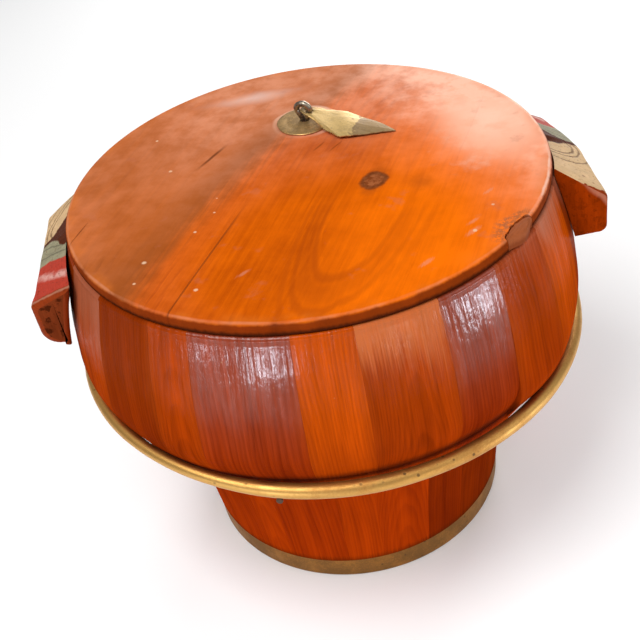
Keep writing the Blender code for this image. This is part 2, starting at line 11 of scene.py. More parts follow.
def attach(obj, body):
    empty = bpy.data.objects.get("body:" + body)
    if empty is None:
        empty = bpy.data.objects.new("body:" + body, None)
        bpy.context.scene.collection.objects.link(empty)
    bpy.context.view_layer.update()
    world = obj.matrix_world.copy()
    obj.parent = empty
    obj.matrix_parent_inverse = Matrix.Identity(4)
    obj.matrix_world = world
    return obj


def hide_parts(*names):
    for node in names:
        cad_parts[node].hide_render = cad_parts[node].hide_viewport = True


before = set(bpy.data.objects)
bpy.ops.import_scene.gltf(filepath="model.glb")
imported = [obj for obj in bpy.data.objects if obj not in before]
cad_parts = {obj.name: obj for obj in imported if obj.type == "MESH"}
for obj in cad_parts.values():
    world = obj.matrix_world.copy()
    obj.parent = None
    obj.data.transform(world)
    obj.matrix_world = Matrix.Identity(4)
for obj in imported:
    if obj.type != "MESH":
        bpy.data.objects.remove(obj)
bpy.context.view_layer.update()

bl_info = {
    "name": "Rice Bucket",
    "version": (1, 0, 0),
    "blender": (4, 5, 0),
    "location": "3D View > Sidebar > Bucket",
    "description": "Lacquered stave bucket with a plank lid, a brass hoop and a leaf pull",
    "category": "Object",
}

FLOW = "flow"
# Pale specks on the lid as (x, y, radius) in millimetres
LID_SPECKS = (
    (-64.9, -99.1, 1.5), (-92.6, -65.8, 1.7), (-97.2, -83.8, 1.2), (-64.9, -44.5, 1.1), (-53.8, -27.7, 0.9),
    (-51.8, -12.8, 0.8), (-88.4, 70.5, 1.2), (-79.2, 28.2, 1.4), (95.1, -69.8, 1.2), (80.9, -90.8, 1.6),
)
# Rubbed spots on the lid as (x, y, half width) in millimetres
LID_SCUFFS = (
    (52.0, -111.0, 2.0), (80.0, -91.0, 2.2), (82.0, -82.0, 1.6), (96.0, -56.0, 1.6), (-40.0, -92.0, 1.6),
)
# Relative width and lacquer of each stave, round the wall from a bearing in degrees
STAVES = (
    (16, "red"), (17, "orange"), (18, "deep"), (21, "red"), (16, "orange"), (19, "plum"), (15, "red"),
    (19, "orange"), (16, "deep"), (20, "red"), (19, "orange"), (19, "plum"), (17, "red"), (18.5, "deep"),
    (15.5, "red"), (16.5, "deep"), (10, "red"), (21.8, "plum"), (12.7, "orange"), (18, "red"), (15, "plum"),
)
STAVE_START = -53.0
ARCHED_STAVES = (4, 8, 13, 17, 20)
# Painted sheen on single staves as (share, height where it starts along the section, red, green, blue)
STAVE_PAINTED_SHEENS = {
    1: (0.40, 236.0, 0.42, 0.160, 0.095),
    2: (0.80, 230.0, 0.42, 0.160, 0.095),
    3: (0.60, 226.0, 0.42, 0.160, 0.095),
    15: (0.60, 212.0, 0.31, 0.105, 0.055),
    20: (0.46, 220.0, 0.72, 0.220, 0.070),
}
NO_PAINTED_SHEEN = (0.0, 222.0, 0.42, 0.160, 0.095)
# Sheen of staves that are duller than the rest, and lightness of the painted shade on the feet of the staves
# at the right
DULL_STAVES = {16: 0.06, 1: 0.10, 2: 0.12}
SHADED_FEET = {21: 0.52, 1: 0.40, 2: 0.40, 3: 0.44}
# Corners of the leaf's outline as (along, side) in millimetres, from the root to the tip and back
LEAF_OUTLINE = (
    (-1.3, 0.0), (-1.3, 1.6), (0.2, 3.6), (4.0, 4.2), (8.4, 6.0), (15.2, 10.2), (21.7, 11.2), (28.3, 11.3),
    (39.0, 8.5), (49.7, 5.1), (61.4, -1.0), (62.3, -1.9), (61.3, -2.6), (51.1, -7.7), (40.5, -13.6),
    (33.0, -17.2), (30.8, -16.9), (27.2, -15.1), (24.5, -14.1), (22.3, -13.9), (19.0, -12.2), (13.8, -8.6),
    (9.0, -6.0), (4.5, -4.6), (0.5, -3.8), (-1.3, -1.6), (-1.3, 0.0),
)
COOL, WARM = (0.80, 0.88, 1.0), (1.0, 0.85, 0.70)
# Low strips of light that the shoulder mirrors, as (name, place, target, width, energy, height, colour)
WINDOWS = (
    ("left", (-0.29, -0.62, 0.140), (-0.035, -0.14, 0.225), 0.16, 0.75, 0.018, COOL),
    ("far_left", (-0.51, -0.43, 0.142), (-0.065, -0.13, 0.228), 0.05, 0.20, 0.018, COOL),
    ("middle", (0.28, -0.62, 0.142), (0.035, -0.14, 0.224), 0.12, 0.22, 0.018, WARM),
    ("right", (0.54, -0.38, 0.110), (0.072, -0.125, 0.224), 0.13, 0.65, 0.020, COOL),
    ("far_right", (0.61, -0.24, 0.110), (0.088, -0.113, 0.228), 0.05, 0.20, 0.018, COOL),
)


def length(name, description, default):
    """A length property in metres."""
    return FloatProperty(name=name, description=description, default=default, unit="LENGTH", precision=5)


def tint(name, description, default):
    """A linear colour property."""
    return FloatVectorProperty(
        name=name, description=description, default=default, size=3, subtype="COLOR", min=0.0, max=1.0
    )


def turn(name, description, degrees):
    """An angle property, given in degrees."""
    return FloatProperty(name=name, description=description, default=math.radians(degrees), subtype="ANGLE")


class BodySettings(bpy.types.PropertyGroup):
    """Sizes and lacquers of the stave wall."""

    foot_radius: length("Foot radius", "Radius of the wall at the floor", 0.0988)
    waist_radius: length("Waist radius", "Radius where the foot ends", 0.1105)
    shoulder_radius: length("Shoulder radius", "Radius where the flare meets the belly", 0.1425)
    belly_radius: length("Belly radius", "Widest radius of the wall", 0.154)
    rim_radius: length("Rim radius", "Outer radius at the mouth", 0.1418)
    waist_height: length("Waist height", "Height where the foot ends", 0.085)
    shoulder_height: length("Shoulder height", "Height where the flare meets the belly", 0.130)
    belly_height: length("Belly height", "Height of the widest place", 0.175)
    rim_height: length("Rim height", "Height of the mouth", 0.2363)
    wall: length("Wall", "Thickness of the wall, measured level", 0.012)
    joint_gap: length("Joint gap", "Gap between neighbouring staves", 0.00006)
    edge_ease: length("Edge ease", "How far a stave's outer edges are eased back", 0.00010)
    ripple: length("Ripple", "Height of the unevenness that the plane left", 0.00022)
    swell: length("Swell", "How far the staves swell out under the belly", 0.0028)
    low_swell: length("Low swell", "How far more they swell above the hoop at the right front", 0.0050)
    deep: tint("Deep lacquer", "Dark brown-red lacquer", (0.21, 0.024, 0.0010))
    red: tint("Red lacquer", "Middle red-brown lacquer", (0.34, 0.040, 0.0013))
    orange: tint("Orange lacquer", "Bright orange lacquer", (0.51, 0.068, 0.0016))
    plum: tint("Plum lacquer", "Dark plum lacquer", (0.25, 0.036, 0.0120))


class LidSettings(bpy.types.PropertyGroup):
    """Sizes and lacquers of the lid."""

    radius: length("Radius", "Radius of the lid", 0.141)
    seat: length("Seat", "Height of the lid's underside", 0.2366)
    thick: length("Thickness", "Thickness of the boards", 0.008)
    ease: length("Edge ease", "Rounding of the upper rim edge", 0.0030)
    grain: turn("Grain", "Direction of the boards in plan", 66.0)
    joint_left: length("Left joint", "Place of the left joint across the boards", -0.110)
    joint_middle: length("Middle joint", "Place of the middle joint across the boards", -0.0255)
    joint_right: length("Right joint", "Place of the right joint across the boards", 0.086)
    patch_azimuth: turn("Patch azimuth", "Where the rim patch lies", -42.6)
    patch_wide: length("Patch width", "Width of the rim patch", 0.025)
    patch_deep: length("Patch depth", "How far the rim patch reaches in", 0.0050)
    bright: tint("Bright lacquer", "Orange lacquer where the lid is bright", (0.87, 0.158, 0.0022))
    dark: tint("Dark lacquer", "Lacquer along the grain lines", (0.44, 0.066, 0.0016))
    brown: tint("Brown lacquer", "Browner lacquer on the left", (0.43, 0.097, 0.0120))


class BrassSettings(bpy.types.PropertyGroup):
    """Sizes and tones of the brass pieces."""

    rod: length("Hoop rod", "Diameter of the hoop's rod", 0.0088)
    hoop_height: length("Hoop height", "Height of the hoop's middle", 0.1408)
    drop_right: length("Drop right", "How far the hoop falls to the right", 0.0047)
    drop_front: length("Drop front", "How far the hoop falls to the front", 0.0014)
    band_tall: length("Band height", "Height of the foot band", 0.0150)
    fitting_x: length("Fitting x", "Place of the lid fitting", 0.0060)
    fitting_y: length("Fitting y", "Place of the lid fitting", 0.0605)
    eye_height: length("Eye height", "Height of the eye above the lid's underside", 0.0170)
    leaf_length: length("Leaf length", "From the hinge to the tip of the leaf", 0.0610)
    leaf_sag: length("Leaf sag", "How far the leaf hangs below a straight line", 0.0028)
    leaf_azimuth: turn("Leaf azimuth", "Where the leaf points in plan", -31.1)
    bright: tint("Bright brass", "Rubbed brass", (0.60, 0.335, 0.095))
    tarnish: tint("Tarnish", "Darkened brass", (0.36, 0.165, 0.036))
    olive: tint("Olive brass", "Old sheet brass", (0.35, 0.218, 0.088))


class HandleSettings(bpy.types.PropertyGroup):
    """Sizes and paints of the carved handles."""

    length: length("Length", "Length of a handle", 0.102)
    start_right: length("Right start", "Place of the plain end along the right handle", -0.0465)
    start_left: length("Left start", "Place of the plain end along the left handle", -0.0395)
    face_right: length("Right face", "Distance of the right handle's face from the bucket's middle", 0.1652)
    face_left: length("Left face", "Distance of the left handle's face from the bucket's middle", 0.1620)
    taper_right: length("Right taper", "How far the right handle's face falls back at its round end", 0.0125)
    taper_left: length("Left taper", "How far the left handle's face falls back at its round end", 0.0)
    stand_off: length("Stand-off", "Gap between the round end and the wall", 0.0045)
    fall: length("Fall", "How far the underside falls to the wall", 0.0025)
    bulge: length("Bulge", "How far the boss stands out past the face", 0.0006)
    brow: length("Brow", "Height of the edge between the face and the sloping top", 0.222)
    foot: length("Foot", "Height of the underside", 0.1965)
    rise_plain: length("Plain end rise", "Rise of the top to the wall at the plain end", 0.0195)
    rise_round: length("Round end rise", "Rise of the top to the wall at the round end", 0.0070)
    ease: length("Ease", "Rounding of the lower edge", 0.005)
    skew: length("Skew", "How far the plain end leans back at the wall", 0.007)
    round_end: length("Round end", "Rounding of the round end", 0.0035)
    notch_start: length("Notch start", "Place of the carved notch along the handle", 0.0035)
    notch: length("Notch", "Length of the carved notch", 0.010)
    notch_depth: length("Notch depth", "Depth of the carved notch", 0.003)
    cream: tint("Cream paint", "Paint of the pale lobe", (0.72, 0.475, 0.250))
    green: tint("Green paint", "Paint of the green lobe", (0.29, 0.262, 0.165))
    red: tint("Red paint", "Paint of the red lobe", (0.48, 0.05, 0.028))
    brown: tint("Brown lacquer", "Lacquer of the ends and the underside", (0.25, 0.031, 0.002))


class StageSettings(bpy.types.PropertyGroup):
    """Camera and light."""

    distance: length("Camera distance", "From the camera to its target", 0.6864)
    target: length("Target height", "Height that the camera looks at", 0.1331)
    elevation: turn("Elevation", "Height of the camera as an angle", 37.8)
    roll: turn("Roll", "Tilt of the camera about its view", -10.2)
    lens: FloatProperty(name="Lens", description="Focal length for a 36 mm sensor", default=59.85)
    shift_x: FloatProperty(name="Shift X", description="Sideways shift of the frame", default=-0.0175)
    shift_y: FloatProperty(name="Shift Y", description="Upward shift of the frame", default=0.0007)
    floor: tint("Floor", "Colour of the floor", (0.93, 0.93, 0.93))


class Wire:
    """An output in a finish's node tree; arithmetic on it adds Math nodes."""

    def __init__(self, finish, socket):
        self.finish = finish
        self.socket = socket

    def math(self, operation, other=None, swapped=False):
        """A Math node of this output, or of it and another value, which comes first when swapped."""
        if other is None:
            return self.finish.node("ShaderNodeMath", {"operation": operation}, {0: self})
        first, second = (other, self) if swapped else (self, other)
        return self.finish.node("ShaderNodeMath", {"operation": operation}, {0: first, 1: second})

    def swing(self, amount):
        """The output, which runs from 0 to 1, as a swing to both sides of 0."""
        return (self - 0.5) * amount

    def __add__(self, other):
        return self.math("ADD", other)

    def __radd__(self, other):
        return self.math("ADD", other, True)

    def __sub__(self, other):
        return self.math("SUBTRACT", other)

    def __rsub__(self, other):
        return self.math("SUBTRACT", other, True)

    def __mul__(self, other):
        return self.math("MULTIPLY", other)

    def __rmul__(self, other):
        return self.math("MULTIPLY", other, True)

    def __truediv__(self, other):
        return self.math("DIVIDE", other)

    def __pow__(self, other):
        return self.math("POWER", other)


class Finish:
    """A material whose Principled shader is fed by expressions."""

    def __init__(self, name):
        self.material = bpy.data.materials.new(name)
        self.material.use_nodes = True
        self.tree = self.material.node_tree
        self.shader = self.tree.nodes["Principled BSDF"]
        self.colour = None

    def node(self, kind, settings=None, inputs=None, output=0):
        """Add a node, set it up, and give values or links to its sockets; gives one of its outputs."""
        made = self.tree.nodes.new(kind)
        for key, value in (settings or {}).items():
            setattr(made, key, value)
        for key, value in (inputs or {}).items():
            if isinstance(value, Wire):
                self.tree.links.new(value.socket, made.inputs[key])
            else:
                made.inputs[key].default_value = value
        return Wire(self, made.outputs[output])

    def place(self):
        """Object coordinates as three values in millimetres."""
        return self.split(self.node("ShaderNodeTexCoord", output=3))

    def flow(self):
        """The piece's own flow map as two values in millimetres."""
        return self.split(self.node("ShaderNodeUVMap", {"uv_map": FLOW}))

    def split(self, vector):
        """The parts of a vector in metres, as values in millimetres."""
        first = self.node("ShaderNodeSeparateXYZ", None, {0: vector})
        outputs = first.socket.node.outputs
        return tuple(Wire(self, outputs[part]) * 1000.0 for part in range(3))

    def join(self, x, y, z):
        """Three values as one vector."""
        return self.node("ShaderNodeCombineXYZ", None, {0: x, 1: y, 2: z})

    def noise(self, x, y, z, detail=2.0, roughness=0.5):
        """Noise from 0 to 1 with a pitch of about one unit of the given values."""
        settings = {"noise_dimensions": "3D"}
        inputs = {"Vector": self.join(x, y, z), "Scale": 1.0, "Detail": detail, "Roughness": roughness}
        return self.node("ShaderNodeTexNoise", settings, inputs)

    def figure(self, first, second, third=0.0):
        """A function that gives noise of two values by their two scales and a shift of the third."""

        def drawn(first_scale, second_scale, shift, *detail):
            return self.noise(first * first_scale, second * second_scale, third + shift, *detail)

        return drawn

    def specks(self, x, y, z):
        """Distance to the nearest of a set of scattered points, one to each unit cell."""
        return self.node("ShaderNodeTexVoronoi", None, {"Vector": self.join(x, y, z), "Scale": 1.0})

    def smooth(self, value, low, high):
        """A soft step from 0 at one value to 1 at another."""
        settings = {"interpolation_type": "SMOOTHSTEP"}
        inputs = {"Value": value, "From Min": low, "From Max": high}
        return self.node("ShaderNodeMapRange", settings, inputs)

    def ridge(self, value, middle, width):
        """A soft bump of 1 at a value, which runs out to 0 at a width on both sides."""
        return 1.0 - self.smooth((value - middle).math("ABSOLUTE"), width * 0.15, width)

    def mix(self, share, first, second):
        """A blend of two colours."""
        settings = {"data_type": "RGBA", "clamp_factor": True}
        return self.node("ShaderNodeMix", settings, {0: share, 6: shade(first), 7: shade(second)}, 2)

    def lay(self, share, tone):
        """Lay a tone over the finish's colour by a share from 0 to 1."""
        self.colour = self.mix(share, self.colour, tone)

    def away(self, first, second):
        """Length of a flat vector, given by its two parts."""
        return (first**2.0 + second**2.0).math("SQRT")

    def bump(self, height, distance, strength):
        """A surface normal that follows a height from 0 to 1 over a distance in metres."""
        inputs = {"Height": height, "Distance": distance, "Strength": strength}
        return self.node("ShaderNodeBump", None, inputs)

    def done(self, **sockets):
        """Feed the shader's colour and other sockets, named with underscores; gives the material."""
        for key, value in {"Base_Color": self.colour, **sockets}.items():
            target = self.shader.inputs[key.replace("_", " ")]
            if isinstance(value, Wire):
                self.tree.links.new(value.socket, target)
            else:
                target.default_value = value
        return self.material

    def polish(self, share, **sockets):
        """Lay a second Principled shader over the first by a share from 0 to 1; gives the material."""
        under = Wire(self, self.shader.outputs[0])
        over = self.node("ShaderNodeBsdfPrincipled")
        self.shader = over.socket.node
        blend = self.node("ShaderNodeMixShader", None, {0: share, 1: under, 2: over})
        self.tree.links.new(blend.socket, self.tree.nodes["Material Output"].inputs["Surface"])
        return self.done(**sockets)


def shade(colour):
    """A colour as a node takes it."""
    return colour if isinstance(colour, Wire) else (*tuple(colour)[:3], 1.0)


def scaled(colour, factor):
    """A colour made lighter or darker."""
    return tuple(min(1.0, part * factor) for part in tuple(colour)[:3])


def stacked(*parts):
    """Arrays of single coordinates as one array of points, each repeated to the shape of the largest."""
    return np.stack(np.broadcast_arrays(*parts), axis=-1)


def bell(value, middle, spread):
    """A smooth hump: 1 at the middle, and less than 0.4 past the spread."""
    return np.exp(-(((value - middle) / spread) ** 2))


def turned(x, y, angle):
    """Two parts of a flat place, along a line at an angle and square to it."""
    return x * math.cos(angle) + y * math.sin(angle), y * math.cos(angle) - x * math.sin(angle)


def closed_surface(name, points, wrap_rows, finishes, sharp, flow=None, cap_finish=0):
    """A closed mesh from a grid of points: columns always close into a loop.

    Rows close into a ring when they wrap, and otherwise the first and last row are each capped by one
    face.  The faces are turned outwards by the sign of the volume that they enclose.
    """
    rows, columns = points.shape[:2]
    index = np.arange(rows * columns).reshape(rows, columns)
    below = index if wrap_rows else index[:-1]
    above = np.roll(index, -1, axis=0) if wrap_rows else index[1:]
    quads = stacked(below, np.roll(below, -1, 1), np.roll(above, -1, 1), above).reshape(-1, 4)
    flat = points.reshape(-1, 3)
    a, b, c, d = (flat[quads[:, corner]] for corner in range(4))
    volume = np.einsum("ij,ij->", a, np.cross(b, c)) + np.einsum("ij,ij->", a, np.cross(c, d))
    caps = []
    if not wrap_rows:
        for ring, way in ((index[0], -1), (index[-1], 1)):
            loop = flat[ring[::way]]
            start = loop[:1]
            volume += np.einsum("ij,ij->", start.repeat(len(loop) - 2, 0), np.cross(loop[1:-1], loop[2:]))
            caps.append(ring[::way])
    if volume < 0:
        quads = quads[:, ::-1]
        caps = [ring[::-1] for ring in caps]
    mesh = bpy.data.meshes.new(name)
    mesh.from_pydata(flat.tolist(), [], quads.tolist() + [ring.tolist() for ring in caps])
    if flow is not None:
        corners = np.empty(len(mesh.loops), dtype=np.int32)
        mesh.loops.foreach_get("vertex_index", corners)
        layer = mesh.uv_layers.new(name=FLOW)
        layer.data.foreach_set("uv", flow.reshape(-1, 2)[corners].astype(np.float32).ravel())
    for finish in finishes:
        mesh.materials.append(finish)
    if caps and cap_finish:
        slots = np.zeros(len(mesh.polygons), dtype=np.int32)
        slots[-2:] = cap_finish
        mesh.polygons.foreach_set("material_index", slots)
    mesh.shade_smooth()
    mesh.set_sharp_from_angle(angle=math.radians(sharp))
    mesh.validate()
    piece = bpy.data.objects.new(name, mesh)
    bpy.context.scene.collection.objects.link(piece)
    return piece


def dress(node, body, points, finishes, sharp, wrap=False, **extras):
    """Build the piece that stands for a node, on the node's body."""
    piece = closed_surface(f"{node}_dressed", points, wrap, finishes, sharp, **extras)
    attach(piece, body)
    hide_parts(node)


def dress_node(node, material):
    """Give a node of the frame another material."""
    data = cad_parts[node].data
    data.materials.clear()
    data.materials.append(material)


def wall_radius(body, heights):
    """Outer radius of the wall: a cubic through five knots that never overshoots, level at the belly."""
    knots = np.array([0.0, body.waist_height, body.shoulder_height, body.belly_height, body.rim_height])
    radii = np.array(
        [body.foot_radius, body.waist_radius, body.shoulder_radius, body.belly_radius, body.rim_radius]
    )
    rises = np.diff(radii) / np.diff(knots)
    product = rises[:-1] * rises[1:]
    inner = np.where(product > 0, 2 * product / (rises[:-1] + rises[1:]), 0.0)
    first = (3 * rises[0] - inner[0]) / 2
    last = (3 * rises[-1] - inner[-1]) / 2
    slopes = np.concatenate([[first], inner, [last]])
    heights = np.asarray(heights, dtype=float)
    part = np.clip(np.searchsorted(knots, heights) - 1, 0, len(rises) - 1)
    run = knots[part + 1] - knots[part]
    t = (heights - knots[part]) / run
    return (
        (1 + 2 * t) * (1 - t) ** 2 * radii[part]
        + t * (1 - t) ** 2 * run * slopes[part]
        + t * t * (3 - 2 * t) * radii[part + 1]
        + t * t * (t - 1) * run * slopes[part + 1]
    )


def stave_section(body):
    """Section of a stave as radius, height and a share that is 1 on the outside.

    The outside follows the wall's radius above the band's rebate, the rim is rounded by quarter
    circles, and the inside is the same curve set in by the wall, with the groove of the bottom boards.
    """
    rebate_deep, rebate_tall = 0.0015, 0.0159
    outer_ease, inner_ease = 0.0026, 0.0012
    groove_low, groove_middle, groove_high, groove_deep = 0.0557, 0.0615, 0.0673, 0.004
    rim = body.rim_height
    seat = body.foot_radius - rebate_deep
    quarter = np.linspace(0.0, math.pi / 2, 7)
    outside = np.linspace(rebate_tall, rim - outer_ease, 90)
    inside = np.linspace(rim - inner_ease, groove_high, 44)
    start = float(wall_radius(body, rim - outer_ease))
    mouth = body.rim_radius - body.wall
    groove = float(wall_radius(body, groove_middle)) - body.wall + groove_deep
    below = float(wall_radius(body, groove_low)) - body.wall
    radius = np.concatenate(
        [
            [seat, seat],
            wall_radius(body, outside),
            start - outer_ease * (1 - np.cos(quarter[1:])),
            mouth + inner_ease * (1 - np.sin(quarter[:-1])),
            wall_radius(body, inside) - body.wall,
            [groove, groove, below, body.foot_radius - body.wall],
        ]
    )
    height = np.concatenate(
        [
            [0.0, rebate_tall],
            outside,
            rim - outer_ease * (1 - np.sin(quarter[1:])),
            rim - inner_ease * (1 - np.cos(quarter[:-1])),
            inside,
            [groove_high, groove_low, groove_low, 0.0],
        ]
    )
    share = np.zeros_like(radius)
    share[2 : 2 + len(outside)] = 1.0
    return radius, height, share


def stave_points(body, start, end, seed):
    """Grid of one stave: its section carried through an angle.

    The outer edges are eased back by a quarter circle, the outside swells under the belly by bell curves of
    its height and bearing, and it is left uneven by slow sine waves along and across the stave.
    """
    radius, height, share = stave_section(body)
    ease_wide = 0.0010
    fade_low, fade_run = 0.016, 0.02
    full_height, full_spread = 0.158, 0.015
    low_height, low_spread = 0.148, 0.0125
    front_bearing, front_spread = -0.75, 0.30
    edge = np.array([0.0, 0.006, 0.016, 0.032, 0.06])
    across = np.concatenate([edge, np.linspace(0.1, 0.9, 17), 1.0 - edge[::-1]])
    arc = (end - start) * body.belly_radius
    from_edge = np.clip(np.minimum(across, 1 - across) * arc / ease_wide, 0.0, 1.0)
    ease = body.edge_ease * (1 - np.sqrt(1 - (1 - from_edge) ** 2))
    wave = np.sin(height[None] * 61.0 + seed * 1.7 + across[:, None] * 2.1)
    wave = wave + 0.6 * np.sin(height[None] * 148.0 + seed * 4.1 - across[:, None] * 3.3)
    crown = 0.6 * (across[:, None] - across[:, None] ** 2) * math.sin(seed * 2.3)
    fade = np.clip((body.rim_height - height) / fade_run, 0, 1)
    fade = fade * np.clip((height - fade_low) / fade_run, 0, 1)
    bearing = start + across[:, None] * (end - start)
    swell = body.swell * bell(height[None], full_height, full_spread)
    right_front = bell(bearing, front_bearing, front_spread)
    swell = swell + body.low_swell * right_front * bell(height[None], low_height, low_spread)
    uneven = fade * body.ripple * (0.5 * wave + crown)
    out = radius[None] + share * (uneven + swell - body.ripple - ease[:, None])
    angle = start + body.joint_gap / 2 / out + across[:, None] * (end - start - body.joint_gap / out)
    points = stacked(out * np.cos(angle), out * np.sin(angle), height)
    run = np.concatenate([[0.0], np.cumsum(np.hypot(np.diff(radius), np.diff(height)))])
    side = (across[:, None] - 0.5) * (end - start) * radius[None]
    flow = stacked(side, run)
    return points, flow


def stave_finish(name, dark, light, half_width, seed, arch, pitch, sheen, painted_sheen, foot):
    """Lacquer over wood with grain up the stave, straight or arched; painted shade on the foot and low belly,
    painted sheen high up and a darker rim.

    The flow map gives the place across the stave and along its section, up from the floor.  A dull shader
    lies under a glossy one, which shows above the belly by the stave's sheen.
    """
    paint = Finish(name)
    mix, lay, ridge, smooth = paint.mix, paint.lay, paint.ridge, paint.smooth
    side, run, _ = paint.flow()
    grain = paint.figure(side, run, seed)
    sway = grain(0.035, 0.007, 0.0, 2.0) - 0.5
    lean = grain(0.2, 0.02, 3.0, 2.0) - 0.5
    if arch:
        rings = ((side - 2.0) ** 2.0 / 13.0 + run * 0.17 + sway * 16.0 + lean * 2.2) / pitch
    else:
        rings = (side + sway * 15.0 + lean * 1.6) / pitch
    saw = rings.math("FRACT")
    line = smooth(saw, 0.15, 0.80) - smooth(saw, 0.85, 1.0)
    streak = grain(1.2, 0.014, 7.0, 3.0, 0.6)
    broad = grain(0.16, 0.005, 29.0, 2.0)
    pores = smooth(grain(2.6, 0.06, 11.0, 2.0), 0.58, 0.74)
    cloud = grain(0.045, 0.016, 17.0, 3.0)
    lightness = 0.60 - line * 0.24 + streak.swing(0.9) + cloud.swing(1.2) + broad.swing(1.1)
    paint.colour = mix(lightness, dark, light)
    lay(pores * 0.36, scaled(dark, 0.50))
    edge_at = half_width * 1000.0
    edge = smooth(side.math("ABSOLUTE"), edge_at - 2.5, edge_at)
    ragged = smooth(grain(0.5, 0.05, 23.0, 3.0), 0.50, 0.70)
    lay(edge * ragged * 0.35, scaled(dark, 0.55))
    beside = smooth(side.math("ABSOLUTE") + cloud.swing(8.0), edge_at - 7.0, edge_at)
    lay(beside * 0.4, (0.32, 0.045, 0.003))
    glossy = sheen > 0.5
    # Painted shade: the lower belly, which turns down towards the hoop, is darkened, most on the glossy plum
    # staves
    belly_shade = smooth(run + cloud.swing(24.0) + streak.swing(20.0), 222.0, 172.0)
    belly_shade_tone = mix(lightness, (0.145, 0.0105, 0.0006), (0.335, 0.031, 0.0009))
    lay(belly_shade * (0.92 if glossy else 0.50), belly_shade_tone)
    # Painted shade: the foot under the belly is darkened, and more on the staves at the right
    low = smooth(run + cloud.swing(20.0), 130.0, 95.0)
    foot_shade_tone = mix(lightness, scaled((0.26, 0.020, 0.0007), foot), scaled((0.47, 0.044, 0.0010), foot))
    lay(low * 0.75, foot_shade_tone)
    # Painted sheen: a pale tone laid high on some staves for the reflection there
    painted_sheen_share, painted_sheen_start, *painted_sheen_tone = painted_sheen
    pale_sheen = smooth(run + cloud.swing(50.0) + streak.swing(40.0), painted_sheen_start, painted_sheen_start + 34.0)
    lay(pale_sheen * painted_sheen_share, painted_sheen_tone)
    # Painted shade: a dark band on the wall where the hoop sits
    hoop_shade = ridge(run + cloud.swing(4.0), 158.0, 9.0)
    lay(hoop_shade * 0.55, (0.07, 0.010, 0.001))
    band_dirt = smooth(run + streak.swing(4.0), 25.0, 17.5)
    lay(band_dirt * 0.7, (0.07, 0.012, 0.002))
    # Darker over the rim's top and down the inside
    rim_darkening = smooth(run + streak.swing(6.0), 252.0, 266.0)
    lay(rim_darkening * 0.5, scaled(dark, 0.45))
    spot = smooth(paint.specks(side * 0.14, run * 0.12, seed), 0.075, 0.04)
    few = smooth(grain(0.06, 0.05, 31.0, 3.0), 0.62, 0.72)
    lay(spot * few * 0.7, (0.60, 0.34, 0.16))
    ridges = grain(0.42, 0.020, 37.0, 2.0)
    dimples = grain(0.30, 0.16, 41.0, 3.0)
    upper = smooth(run + cloud.swing(30.0), 196.0 if glossy else 200.0, 230.0)
    gloss = smooth(ridges + dimples.swing(0.5), 0.30, 0.62)
    height = ridges * 0.8 + dimples * 0.6 + streak * 0.15 - pores * 0.1
    paint.done(
        Roughness=0.6 + pores * 0.2,
        Specular_IOR_Level=0.0,
        Normal=paint.bump(height, 0.00055, 0.5),
    )
    return paint.polish(
        (0.35 + gloss * 0.65) * (upper * sheen + 0.01),
        Roughness=0.17 + pores * 0.1,
        Normal=paint.bump(height, 0.00055, 0.8),
    )


class BUCKET_OT_staves(bpy.types.Operator):
    """Build the staves of the wall, each with its own lacquer"""

    bl_idname = "bucket.staves"
    bl_label = "Staves"

    def execute(self, context):
        body = context.scene.bucket_body
        widths = [width for width, _ in STAVES]
        bounds = STAVE_START + np.concatenate([[0.0], np.cumsum(widths)]) * 360.0 / sum(widths)
        bounds = np.radians(bounds)
        for place, (_, tone) in enumerate(STAVES):
            number = place + 1
            node = f"stave_{number:02d}"
            start, end = float(bounds[place]), float(bounds[number])
            points, flow = stave_points(body, start, end, float(number))
            lacquer = getattr(body, tone)
            half = (end - start) * body.belly_radius / 2
            pitch = 3.2 + 1.3 * math.sin(place * 2.4)
            sheen = 0.90 if tone == "plum" else DULL_STAVES.get(number, 0.25)
            painted_sheen = STAVE_PAINTED_SHEENS.get(number, NO_PAINTED_SHEEN)
            foot = SHADED_FEET.get(number, 0.97)
            looks = (place * 13.7, number in ARCHED_STAVES, pitch, sheen, painted_sheen, foot)
            tones = (scaled(lacquer, 0.70), scaled(lacquer, 1.25))
            finish = stave_finish(f"{node}_lacquer", *tones, half, *looks)
            dress(node, "tub", points, [finish], 50.0, flow=flow)
        return {"FINISHED"}


def patch_inner(lid, gap, inset=0.0):
    """Inner side of the rim patch as (out, side): half a torn oval, cut off at an inset from the rim."""
    first = math.asin((inset / lid.patch_deep) ** (1 / 0.7))
    t = np.linspace(first, math.pi - first, 34)
    side = -(lid.patch_wide / 2 - gap) * np.cos(t)
    torn = 0.07 * np.sin(t * 5.0) + 0.05 * np.sin(t * 11.0 + 1.0) + 0.03 * np.sin(t * 19.0)
    depth = (lid.patch_deep - gap) * np.sin(t) ** 0.7 * (1.0 + torn * np.sin(t))
    return stacked(np.sqrt(lid.radius**2 - side**2) - depth, side)


